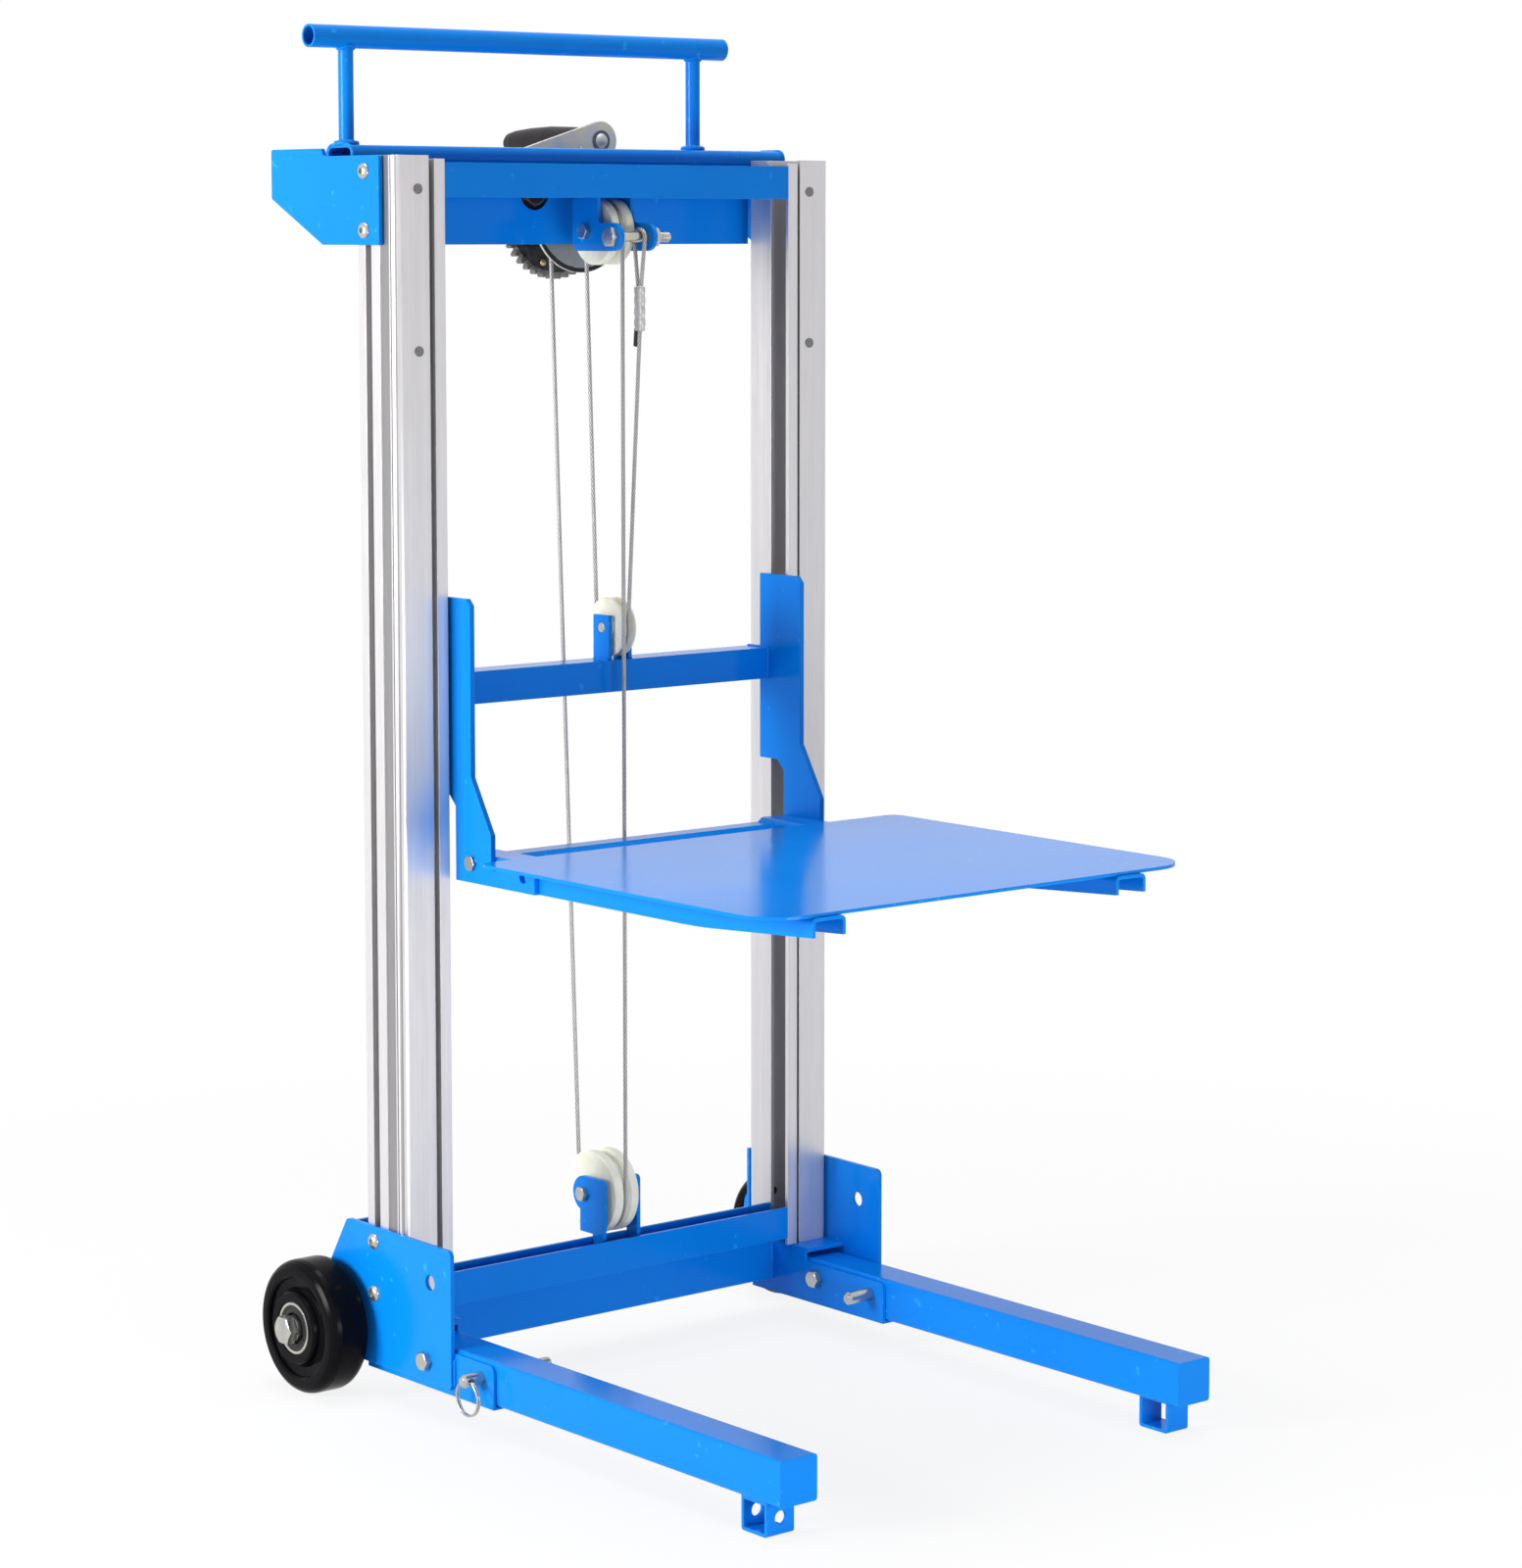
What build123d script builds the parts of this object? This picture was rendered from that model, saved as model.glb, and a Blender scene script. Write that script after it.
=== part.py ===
"""Winch platform lift: a hand winch, a two-stage mast and a fork carriage with a platform.

Millimetres, +Z up, +X to the right, -Y to the front where the legs point.
Every piece is drawn about the front face of the fixed mast (Y = 0) and is moved by
DEPTH_SHIFT when it is written, so that the origin is on the floor in the middle.
"""

import math
import os

from build123d import *

# Gaps and fits
CLEAR = 0.3  # between pieces that move against each other
FIT = 0.05  # radial, pins and shafts in their bores
PLAY = 0.25  # radial, fixed bolts in their holes

# Overall depth, leg tips to the end of the crank grip
LEG_TIP = -528.0
GRIP_END = 352.0
DEPTH_SHIFT = -(LEG_TIP + GRIP_END) / 2

# Side plates of the base and of the head stand against the mast uprights
PLATE = 4.0
PLATE_IN = 254.5
PLATE_OUT = PLATE_IN + PLATE

# Fixed mast upright, an aluminium extrusion
UPRIGHT_BOTTOM = 80.0
UPRIGHT_TOP = 1140.0
UPRIGHT_DEPTH = 58.0
UPRIGHT_FLANGE_IN = 218.0
UPRIGHT_FLANGE = 3.5
UPRIGHT_WALL = 4.0
UPRIGHT_SKIN = 3.0
UPRIGHT_BOX_IN = 205.0
UPRIGHT_BOX_FRONT = 33.0
UPRIGHT_CORNER = 7.0
SLOT_Y = 43.0
SLOT_WIDTH = 9.0
SLOT_CHAMBER = 11.0
BAND_FRONT = 11.0
BAND_BACK = 25.0
GROOVE_FRONT = 7.5
GROOVE_BACK = 9.0
BAND_DEPTH = 1.0

# Sliding inner upright
INNER_BOTTOM = UPRIGHT_BOTTOM + CLEAR
INNER_TOP = 1137.0
INNER_IN = 202.0
LIP_OUT = 213.4
LIP_FRONT = -2.0
LIP_BACK = 2.0
INNER_OUT = 248.5
INNER_FRONT = 6.0
INNER_BACK = 30.0
INNER_WALL = 3.0
BEAD_OUT = 206.0
BEAD_FRONT = 24.0

# Nylon pads between the two, riveted into the fixed uprights
PAD_TOP = 1135.0
PAD_LENGTH = 190.0
PAD_IN = 222.0
PAD_OUT = 244.0
RIVET_X = 230.0
RIVET_Z = (1110.0, 965.0)
RIVET_RADIUS = 4.6
RIVET_PROUD = 0.9

# Cross pieces of the inner mast
BAR_BACK = 46.0
BAR_BOTTOM = 1103.0
BAR_TOP = 1134.0
CHANNEL_BACK = 28.0
CHANNEL_BOTTOM = 87.0
CHANNEL_TOP = 118.0

# Rope and its route
ROPE = 4.0
ROPE_X = 3.0
ROPE_FRONT = 2.0
ROPE_END_GAP = 0.4

# Top pulley on the inner mast
TOP_RADIUS = 31.0
TOP_ROPE = 28.0
TOP_WIDTH = 26.0
TOP_Y = ROPE_FRONT + TOP_ROPE
TOP_Z = 1072.0

# Lower pulley on the inner mast
LOW_RADIUS = 39.5
LOW_ROPE = 36.0
LOW_WIDTH = 28.0
LOW_Y = ROPE_FRONT + LOW_ROPE
LOW_Z = 158.0

# Carriage pulley, beside the straight run of the rope
CAR_RADIUS = 28.0
CAR_ROPE = 24.0
CAR_WIDTH = 15.0
CAR_X = 14.5
CAR_Y = TOP_Y + TOP_ROPE - CAR_ROPE
CAR_Z = 700.0

# Pulley grooves and bolts
GROOVE_HALF = 2.5
GROOVE_FLARE = 5.0
RIM_CHAMFER = 1.2
HUB_PROUD = 1.2
HUB_RADIUS = 11.0
AXLE_RADIUS = 4.0
AXLE_HEAD = 5.5
AXLE_HEAD_FLATS = 13.0
AXLE_END = 5.0

# Brackets of the two mast pulleys
EAR = 4.0
EAR_GAP = 4.5
TOP_EAR_FRONT = 12.0
TOP_EAR_SHOULDER = 1102.4
TOP_EAR_BACK = 50.0
TOP_EAR_NOSE = -24.0
TOP_EAR_BOTTOM = 1054.0
TOP_EAR_STEP = 1080.0
TOP_EAR_ROUND = 9.0
TOP_EAR_LOBE = 12.9
TOP_EAR_INNER = 6.0
TOP_BRACKET_BACK = 42.0
LOW_EAR_FRONT = 8.0
LOW_EAR_FOOT_BACK = 24.5
LOW_EAR_BACK = 44.0
LOW_EAR_WAIST = 121.0
LOW_EAR_LOBE = 17.0
LOW_EAR_CORNER = 4.0

# Cross bolt that carries the rope's eye, its ferrule
EYE_X = 13.0
EYE_Y = -11.0
EYE_Z = 1067.0
EYE_BOLT_RADIUS = 5.0
EYE_BOLT_HEAD = 6.4
EYE_BOLT_FLATS = 17.0
EYE_BOLT_END = 48.0
EYE_NUT = 8.0
EYE_LOOP = 8.0
FERRULE_TOP = 1021.0
FERRULE_BOTTOM = 980.0
FERRULE_WIDE = 13.0
FERRULE_THICK = 8.0
FERRULE_ROUND = 3.9

# Head of the fixed mast
HEAD_OUTLINE = (
    (20.0, 1060.0),
    (110.0, 1060.0),
    (193.0, 1102.0),
    (193.0, 1147.0),
    (111.0, 1147.0),
    (107.5, 1140.0),
    (20.0, 1140.0),
)
HEAD_CORNER = 3.0
TUBE_FRONT = 67.0
TUBE_BACK = 107.0
TUBE_BOTTOM = 1130.0
TUBE_HEIGHT = 20.0
TUBE_TOP = TUBE_BOTTOM + TUBE_HEIGHT
TUBE_ROUND = 8.0
TUBE_WALL = 2.5
TUBE_Y = (TUBE_FRONT + TUBE_BACK) / 2

# Push handle, set towards the left side
POST_RADIUS = 7.0
POST_LEFT = -247.0
POST_RIGHT = 156.0
WELD_RADIUS = 12.0
WELD_HEIGHT = 5.0
HANDLE_RADIUS = 10.5
HANDLE_WALL = 2.0
HANDLE_RISE = 97.0
HANDLE_Z = TUBE_TOP + HANDLE_RISE
HANDLE_LEFT = -287.0
HANDLE_RIGHT = 192.0

# Bent panel in front of the winch
PANEL_FRONT = 77.0
PANEL_BACK = 118.0
PANEL_HALF = 225.0
PANEL_BEND = 15.0
PANEL_SHEET = 3.0
PANEL_BOTTOM = 1060.0
PANEL_TOP = TUBE_BOTTOM
PANEL_HOLE = 17.0

# Winch frame
BACK_BOTTOM = 1066.0
BACK_WAIST = 1096.0
BACK_TOP = 1142.0
FRAME_LEFT = -80.0
FRAME_RIGHT = 122.0
FRAME_BOTTOM = 1063.0
FRAME_TOP = 1127.0
TIE_RADIUS = 6.0
TIE_INSET = 9.0

# Drum and gears, modules and tooth counts
MODULE = 3.0
GEAR_TEETH = 40
PINION_TEETH = 14
PRESSURE = math.radians(20)
ADDENDUM = 0.8
DEDENDUM = 1.15
BACKLASH = 0.35
FLANK_POINTS = 5
GEAR_PITCH = MODULE * GEAR_TEETH / 2
PINION_PITCH = MODULE * PINION_TEETH / 2
PINION_X = -42.4
PINION_Z = 1109.0
DRUM_Z = 1089.0
CENTRES = GEAR_PITCH + PINION_PITCH
DRUM_X = PINION_X + math.sqrt(CENTRES**2 - (PINION_Z - DRUM_Z) ** 2)
DRUM_AXLE = 10.0
DRUM_BARREL = 30.0
DRUM_FLANGE = 56.0
DRUM_GAP = 1.0
DRUM_WIDTH = 40.0
DRUM_SHEET = 3.0
DRUM_FRONT = TUBE_BACK + DRUM_GAP
GEAR_WIDTH = 8.0
GEAR_HUB = 22.0
GEAR_HUB_LENGTH = 4.0
GEAR_FRONT = DRUM_FRONT + DRUM_WIDTH
GEAR_BACK = GEAR_FRONT + GEAR_WIDTH
GEAR_HUB_BACK = GEAR_BACK + GEAR_HUB_LENGTH
SHAFT_RADIUS = 7.0
SHAFT_FRONT = 75.0
SHAFT_BACK = 208.0
PINION_SPARE = 2.5
PINION_FRONT = GEAR_FRONT - PINION_SPARE
PINION_BACK = GEAR_BACK + PINION_SPARE
BACK_GAP = 3.0
BACK_FRONT = GEAR_HUB_BACK + BACK_GAP

# Winding on the drum
WIND_RADIUS = DRUM_BARREL + ROPE / 2
WIND_LOOPS = 6
WIND_PITCH = 4.7
WIND_INSET = 7.5
WIND_FRONT = DRUM_FRONT + WIND_INSET
WIND_CHECK = 600

# Crank
ARM_FRONT = 198.0
ARM_BACK = 203.0
ARM_HALF = 19.0
ARM_LENGTH = 180.0
ARM_ANGLE = math.radians(16.7)
ARM_HUB = 16.0
ARM_HUB_FRONT = 186.0
ARM_X = PINION_X + ARM_LENGTH * math.cos(ARM_ANGLE)
ARM_Z = PINION_Z + ARM_LENGTH * math.sin(ARM_ANGLE)
ARM_HOLE = 2.5
ARM_HOLE_INSET = 26.0
NUT_FLATS = 22.0
GRIP_BOLT = 5.0
GRIP_BOLT_HEAD = 8.0
GRIP_BOLT_DOME = 4.5
GRIP_COLLAR = 9.0
GRIP_START = ARM_BACK + 3.0
GRIP_PROFILE = (
    (0.0, 12.5),
    (2.0, 15.0),
    (10.0, 15.0),
    (16.0, 13.4),
    (40.0, 14.6),
    (72.0, 15.6),
    (104.0, 14.6),
    (128.0, 12.6),
    (139.0, 10.6),
    (144.0, 7.6),
    (146.0, 4.0),
)
GRIP_BORE_END = 130.0

# Base
BASE_OUTLINE = (
    (-77.0, 33.0),
    (-77.0, 160.5),
    (87.0, 162.0),
    (128.0, 96.0),
    (133.0, 62.0),
    (124.0, 40.0),
    (104.0, 33.0),
)
BASE_CORNER = 6.0
BEAM_FRONT = 30.0
BEAM_BACK = 70.0
BEAM_BOTTOM = 40.0
BEAM_WALL = 3.0
RETURN_BACK = 88.0
RETURN_WIDTH = 30.0
RETURN_BOTTOM = 100.0
RETURN_TOP = 159.0
EMPTY_Y = -45.0
EMPTY_Z = 126.0
EMPTY_RADIUS = 7.25

# Leg channels, legs and feet
LEG_SIZE = 40.0
LEG_WALL = 2.5
LEG_ROUND = 3.0
LEG_BOTTOM = 30.0
LEG_BACK = 50.0
LEG_X = 231.5
CHANNEL_WALL = PLATE_IN - LEG_X - LEG_SIZE / 2 - CLEAR
LEG_CHANNEL_FRONT = -136.0
LEG_CHANNEL_BACK = 60.0
LEG_CHANNEL_TOP = 66.5
LEG_CHANNEL_ROUND = 7.0
LEG_CHANNEL_IN = LEG_X - LEG_SIZE / 2 - CLEAR - CHANNEL_WALL
SHELF = 4.0
SHELF_FRONT = -25.0
FOOT_IN = 219.5
FOOT_OUT = 249.0
FOOT_FRONT = -508.0
FOOT_BACK = -475.0
FOOT_RIGHT_OUT = 245.0
FOOT_RIGHT_BACK = -472.0
FOOT_WALL = 3.0
FOOT_ROUND = 3.0
FOOT_HOLE = 6.0
FOOT_HOLE_Z = 15.0

# Bolts through the side plates
BOLT_RADIUS = 4.0
BOLT_HEAD = 7.5
BOLT_DOME = 4.6
TNUT = 8.0
TNUT_THICK = 6.0
HEAD_BOLT_Z = (1126.0, 1073.0)
BASE_BOLT_Z = (148.0, 99.0)
LEG_BOLT_Y = -38.0
LEG_BOLT_Z = 53.0
LEG_BOLT_RADIUS = 5.0
LEG_BOLT_FLATS = 17.0
LEG_BOLT_HEAD = 6.4
LEG_NUT = 8.0

# Locking pins and their rings
PIN_Y = -117.0
PIN_Z = 53.0
PIN_RADIUS = 6.0
PIN_IN = 178.0
PIN_OUT = 276.0
PIN_TIP = 2.0
RING_X = 269.0
RING_LOOP = 16.0
RING_WIRE = 1.5
RING_HOLE = 3.1

# Wheels
WHEEL_RADIUS = 62.5
WHEEL_Y = 103.0
WHEEL_GAP = 5.5
WHEEL_WIDTH = 42.0
WHEEL_IN = PLATE_OUT + WHEEL_GAP
WHEEL_OUT = WHEEL_IN + WHEEL_WIDTH
AXLE_BOLT = 8.0
AXLE_FLATS = 24.0
AXLE_NUT = 13.0
AXLE_TAIL = 16.5
WHEEL_WASHER = 14.0
WHEEL_BOLT_HEAD = 10.0
WHEEL_SPACER = 12.0
WHEEL_SPACER_LENGTH = 5.7
# depth below the tread's radius and below the outer face, tread to hub
WHEEL_PROFILE = (
    (0.0, 10.0),
    (0.9, 6.0),
    (3.1, 2.6),
    (6.5, 0.4),
    (10.5, 0.0),
    (14.5, 0.0),
    (16.0, 1.4),
    (17.0, 4.5),
    (25.0, 5.5),
    (27.0, 3.0),
    (28.5, -2.0),
    (30.0, -3.5),
    (37.0, -3.5),
    (37.8, -2.8),
    (38.2, 0.5),
)

# Carriage
CHEEK_IN = 193.0
CHEEK_OUT = 198.0
CHEEK_OUTLINE = (
    (-125.0, 484.0),
    (-6.0, 484.0),
    (-6.0, 552.0),
    (4.0, 562.0),
    (30.0, 562.0),
    (30.0, 742.0),
    (-24.0, 742.0),
    (-30.0, 736.0),
    (-30.0, 580.0),
    (-60.0, 530.0),
    (-60.0, 507.0),
    (-125.0, 507.0),
)
CHEEK_BOLT_Y = -30.0
CHEEK_BOLT_Z = 502.0
CHEEK_HOLES = ((-64.0, 504.0), (-108.0, 498.0))
CHEEK_HOLE = 5.5
CROSS_FRONT = 18.0
CROSS_BACK = 48.0
CROSS_BOTTOM = 640.0
CROSS_TOP = 670.0
CROSS_WALL = 3.0
FRONT_BAR_FRONT = -32.0
FRONT_BAR_BACK = -12.0
FRONT_BAR_BOTTOM = 486.0
FRONT_BAR_TOP = 506.0
CAR_EAR = 3.5
CAR_EAR_GAP = 1.5
CAR_EAR_HALF = 12.0
CAR_EAR_TOP = 712.0
CAR_AXLE = 5.0
SHOE_NECK_FRONT = 10.0
SHOE_NECK_BACK = 23.0
SHOE_BLOCK_IN = 215.5
SHOE_BLOCK_OUT = 243.0
SHOE_HEIGHT = 50.0
SHOE_Z = (590.0, 714.0)

# Forks and platform
FORK_WIDTH = 36.0
FORK_OUT = CHEEK_IN
FORK_IN = FORK_OUT - FORK_WIDTH
FORK_WALL = 3.0
FORK_BOTTOM = 484.0
FORK_TOP = 510.0
FORK_BACK = -12.0
FORK_TIP = -500.0
FORK_TAPER = -350.0
FORK_TIP_BOTTOM = 493.5
FORK_BEND = 5.0
FORK_CURVE = 600.0
PLATFORM_LEFT = -238.0
PLATFORM_RIGHT = 258.0
PLATFORM_SETBACK = 3.0
PLATFORM_FRONT = FORK_TIP + PLATFORM_SETBACK
PLATFORM_BACK = -95.0
PLATFORM_SHEET = 3.0
PLATFORM_CORNER = 42.0
PLATFORM_BACK_CORNER = 12.0


def box(x0, x1, y0, y1, z0, z1):
    """A block between two corners."""
    return Pos((x0 + x1) / 2, (y0 + y1) / 2, (z0 + z1) / 2) * Box(x1 - x0, y1 - y0, z1 - z0)


def rod_x(radius, x0, x1, y, z):
    """A round bar along X."""
    return Pos((x0 + x1) / 2, y, z) * Rot(0, 90, 0) * Cylinder(radius, x1 - x0)


def rod_y(radius, y0, y1, x, z):
    """A round bar along Y."""
    return Pos(x, (y0 + y1) / 2, z) * Rot(90, 0, 0) * Cylinder(radius, y1 - y0)


def rod_z(radius, z0, z1, x, y):
    """A round bar along Z."""
    return Pos(x, y, (z0 + z1) / 2) * Cylinder(radius, z1 - z0)


def hex_x(flats, x0, x1, y, z):
    """A hexagon bar along X, by its width across flats."""
    outline = Plane.YZ.offset(x0) * (Pos(y, z) * RegularPolygon(flats / math.sqrt(3), 6))
    return extrude(outline, x1 - x0)


def hex_y(flats, y0, y1, x, z):
    """A hexagon bar along Y, by its width across flats."""
    outline = Plane.XZ.offset(-y1) * (Pos(x, z) * RegularPolygon(flats / math.sqrt(3), 6))
    return extrude(outline, y1 - y0)


def rect(x0, x1, y0, y1):
    """A flat rectangle in the ground plane."""
    return Pos((x0 + x1) / 2, (y0 + y1) / 2) * Rectangle(x1 - x0, y1 - y0)


def plate_yz(points, x0, x1, corner=0):
    """A plate that faces along X, cut to an outline of (y, z) points."""
    outline = Polygon(*points, align=None)
    if corner:
        outline = fillet(outline.vertices(), corner)
    return extrude(Plane.YZ.offset(x0) * outline, x1 - x0, dir=(1, 0, 0))


def plate_xz(outline, y0, y1):
    """A plate that faces along Y, from a flat outline of (x, z)."""
    return extrude(Plane.XZ.offset(-y1) * outline, y1 - y0, dir=(0, -1, 0))


def turned(points):
    """A solid turned about the X axis from (along, radius) points."""
    outline = make_face(Polyline(*points, close=True))
    return revolve(outline, Axis.X, 360)


def turned_x(points, x, y, z):
    """The same turned solid about a line along X."""
    return Pos(x, y, z) * turned(points)


def turned_y(points, x, y, z):
    """The same turned solid about a line along Y."""
    return Pos(x, y, z) * Rot(0, 0, 90) * turned(points)


def dome_x(radius, height, x, y, z):
    """A low domed bolt head that stands on x and rises along +X."""
    ball = (radius**2 + height**2) / (2 * height)
    half_way = math.asin(radius / ball) / 2
    crest = (height - ball + ball * math.cos(half_way), ball * math.sin(half_way))
    edges = [
        Edge.make_line((0, 0), (0, radius)),
        Edge.make_three_point_arc((0, radius), crest, (height, 0)),
        Edge.make_line((height, 0), (0, 0)),
    ]
    return Pos(x, y, z) * revolve(make_face(edges), Axis.X, 360)


def left_of(shape):
    """The same piece on the left side."""
    return mirror(shape, Plane.YZ)


def group(shapes):
    """Several separate solids of one kind, written together."""
    return Compound([solid for shape in shapes for solid in shape.solids()])


def both_sides(shape):
    """The piece and its mirror image."""
    return group([shape, left_of(shape)])


def tube_along(edges):
    """A rope along joined edges."""
    path = Wire(edges)
    start = path @ 0
    ring = Plane(origin=start, z_dir=path % 0) * Circle(ROPE / 2)
    return sweep(ring, path=path)


def write(name, shape):
    """Move one piece to the shared frame and write it."""
    export_step(Pos(0, DEPTH_SHIFT, 0) * shape, "parts/" + name + ".step")


def write_pair(name, shape):
    """Write the right piece and its mirror image on the left."""
    write(name + "_right", shape)
    write(name + "_left", left_of(shape))


os.makedirs("parts", exist_ok=True)

# Fixed mast uprights: a front channel for the inner mast and a rear box with a T-slot
section = rect(UPRIGHT_FLANGE_IN, PLATE_IN, 0, UPRIGHT_FLANGE)
section += rect(PLATE_IN - UPRIGHT_WALL, PLATE_IN, 0, UPRIGHT_DEPTH)
section += rect(UPRIGHT_BOX_IN, PLATE_IN, UPRIGHT_BOX_FRONT, UPRIGHT_DEPTH)
chamber_in = PLATE_IN - UPRIGHT_WALL - SLOT_CHAMBER
box_back = UPRIGHT_DEPTH - UPRIGHT_SKIN
box_front = UPRIGHT_BOX_FRONT + UPRIGHT_SKIN
section -= rect(UPRIGHT_BOX_IN + UPRIGHT_SKIN, chamber_in - UPRIGHT_SKIN, box_front, box_back)
section -= rect(chamber_in, PLATE_IN - UPRIGHT_WALL, box_front, box_back)
section -= rect(chamber_in, PLATE_IN + CLEAR, SLOT_Y - SLOT_WIDTH / 2, SLOT_Y + SLOT_WIDTH / 2)
section -= rect(PLATE_IN - BAND_DEPTH, PLATE_IN + CLEAR, BAND_FRONT, BAND_BACK)
section -= rect(PLATE_IN - BAND_DEPTH, PLATE_IN + CLEAR, GROOVE_FRONT, GROOVE_BACK)
corner = section.vertices().sort_by_distance((PLATE_IN, 0, 0))[0]
section = fillet(corner, UPRIGHT_CORNER)
upright = Pos(0, 0, UPRIGHT_BOTTOM) * extrude(section, UPRIGHT_TOP - UPRIGHT_BOTTOM)
write_pair("mast_upright", upright)

# Nylon slide pads behind the front flange and before the box, with their rivet heads
pad_front = box(
    PAD_IN, PAD_OUT, UPRIGHT_FLANGE, INNER_FRONT - CLEAR, PAD_TOP - PAD_LENGTH, PAD_TOP
)
pad_back = box(
    PAD_IN, PAD_OUT, INNER_BACK + CLEAR, UPRIGHT_BOX_FRONT, PAD_TOP - PAD_LENGTH, PAD_TOP
)
rivets = [rod_y(RIVET_RADIUS, -RIVET_PROUD, 0, RIVET_X, z) for z in RIVET_Z]
write("slide_pads", both_sides(group([pad_front, pad_back] + rivets)))

# Inner mast uprights: a lip at the front and a channel for the carriage shoes
section = rect(INNER_IN, LIP_OUT, LIP_FRONT, LIP_BACK)
section += rect(LIP_OUT - INNER_WALL, LIP_OUT, LIP_FRONT, INNER_FRONT + INNER_WALL)
section += rect(LIP_OUT - INNER_WALL, INNER_OUT, INNER_FRONT, INNER_FRONT + INNER_WALL)
section += rect(INNER_OUT - INNER_WALL, INNER_OUT, INNER_FRONT, INNER_BACK)
section += rect(INNER_IN, INNER_OUT, INNER_BACK - INNER_WALL, INNER_BACK)
section += rect(INNER_IN, BEAD_OUT, BEAD_FRONT, INNER_BACK)
inner = Pos(0, 0, INNER_BOTTOM) * extrude(section, INNER_TOP - INNER_BOTTOM)
write_pair("inner_upright", inner)

# Top bar of the inner mast, an inverted channel
bar = box(-INNER_IN, INNER_IN, LIP_FRONT, BAR_BACK, BAR_BOTTOM, BAR_TOP)
bar -= box(
    -INNER_IN - CLEAR,
    INNER_IN + CLEAR,
    LIP_FRONT + INNER_WALL,
    BAR_BACK - INNER_WALL,
    BAR_BOTTOM - CLEAR,
    BAR_TOP - INNER_WALL,
)
write("mast_top_bar", bar)

# Bottom channel of the inner mast, open at the top
channel = box(-INNER_IN, INNER_IN, LIP_FRONT, CHANNEL_BACK, CHANNEL_BOTTOM, CHANNEL_TOP)
channel -= box(
    -INNER_IN - CLEAR,
    INNER_IN + CLEAR,
    LIP_FRONT + INNER_WALL,
    CHANNEL_BACK - INNER_WALL,
    CHANNEL_BOTTOM + INNER_WALL,
    CHANNEL_TOP + CLEAR,
)
write("mast_bottom_channel", channel)


def pulley(radius, rope_radius, width, bore):
    """A nylon rope pulley about the X axis."""
    half = width / 2
    floor = rope_radius - ROPE / 2 - CLEAR
    points = (
        (-half - HUB_PROUD, bore),
        (half + HUB_PROUD, bore),
        (half + HUB_PROUD, HUB_RADIUS),
        (half, HUB_RADIUS),
        (half, radius - RIM_CHAMFER),
        (half - RIM_CHAMFER, radius),
        (GROOVE_FLARE, radius),
        (GROOVE_HALF, rope_radius),
        (GROOVE_HALF, floor + RIM_CHAMFER),
        (GROOVE_HALF - RIM_CHAMFER, floor),
        (RIM_CHAMFER - GROOVE_HALF, floor),
        (-GROOVE_HALF, floor + RIM_CHAMFER),
        (-GROOVE_HALF, rope_radius),
        (-GROOVE_FLARE, radius),
        (RIM_CHAMFER - half, radius),
        (-half, radius - RIM_CHAMFER),
        (-half, HUB_RADIUS),
        (-half - HUB_PROUD, HUB_RADIUS),
    )
    return turned(points)


# Pulleys of the inner mast and of the carriage
top_pulley = pulley(TOP_RADIUS, TOP_ROPE, TOP_WIDTH, AXLE_RADIUS + FIT)
write("top_pulley", Pos(ROPE_X, TOP_Y, TOP_Z) * top_pulley)
low_pulley = pulley(LOW_RADIUS, LOW_ROPE, LOW_WIDTH, AXLE_RADIUS + FIT)
write("lower_pulley", Pos(ROPE_X, LOW_Y, LOW_Z) * low_pulley)
car_pulley = pulley(CAR_RADIUS, CAR_ROPE, CAR_WIDTH, CAR_AXLE + FIT)
write("carriage_pulley", Pos(CAR_X, CAR_Y, CAR_Z) * car_pulley)

# Bracket of the top pulley: two ears that hang from the top bar
top_ear_left = ROPE_X - TOP_WIDTH / 2 - EAR_GAP - EAR
top_ear_right = ROPE_X + TOP_WIDTH / 2 + EAR_GAP
ear_roof = BAR_TOP - INNER_WALL
ear = rect(TOP_EAR_NOSE, TOP_EAR_BACK, TOP_EAR_BOTTOM, TOP_EAR_STEP)
for y, z, corner in (
    (TOP_EAR_BACK, TOP_EAR_BOTTOM, TOP_EAR_ROUND),
    (TOP_EAR_NOSE, TOP_EAR_BOTTOM, TOP_EAR_LOBE),
    (TOP_EAR_NOSE, TOP_EAR_STEP, TOP_EAR_LOBE),
):
    ear = fillet(ear.vertices().sort_by_distance((y, z))[0], corner)
ear += rect(TOP_EAR_FRONT, TOP_EAR_BACK, TOP_EAR_STEP, TOP_EAR_SHOULDER)
ear += rect(TOP_EAR_FRONT, TOP_BRACKET_BACK, TOP_EAR_SHOULDER, ear_roof)
ear = fillet(ear.vertices().sort_by_distance((TOP_EAR_FRONT, TOP_EAR_STEP))[0], TOP_EAR_INNER)
bracket = extrude(Plane.YZ.offset(top_ear_left) * ear, EAR, dir=(1, 0, 0))
bracket += extrude(Plane.YZ.offset(top_ear_right) * ear, EAR, dir=(1, 0, 0))
bracket += box(
    top_ear_left,
    top_ear_right + EAR,
    TOP_EAR_FRONT,
    TOP_BRACKET_BACK,
    ear_roof - EAR,
    ear_roof,
)
bracket -= rod_x(AXLE_RADIUS + PLAY, top_ear_left - EAR, top_ear_right + 2 * EAR, TOP_Y, TOP_Z)
bracket -= rod_x(
    EYE_BOLT_RADIUS + PLAY, top_ear_left - EAR, top_ear_right + 2 * EAR, EYE_Y, EYE_Z
)
write("top_pulley_bracket", bracket)

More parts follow.
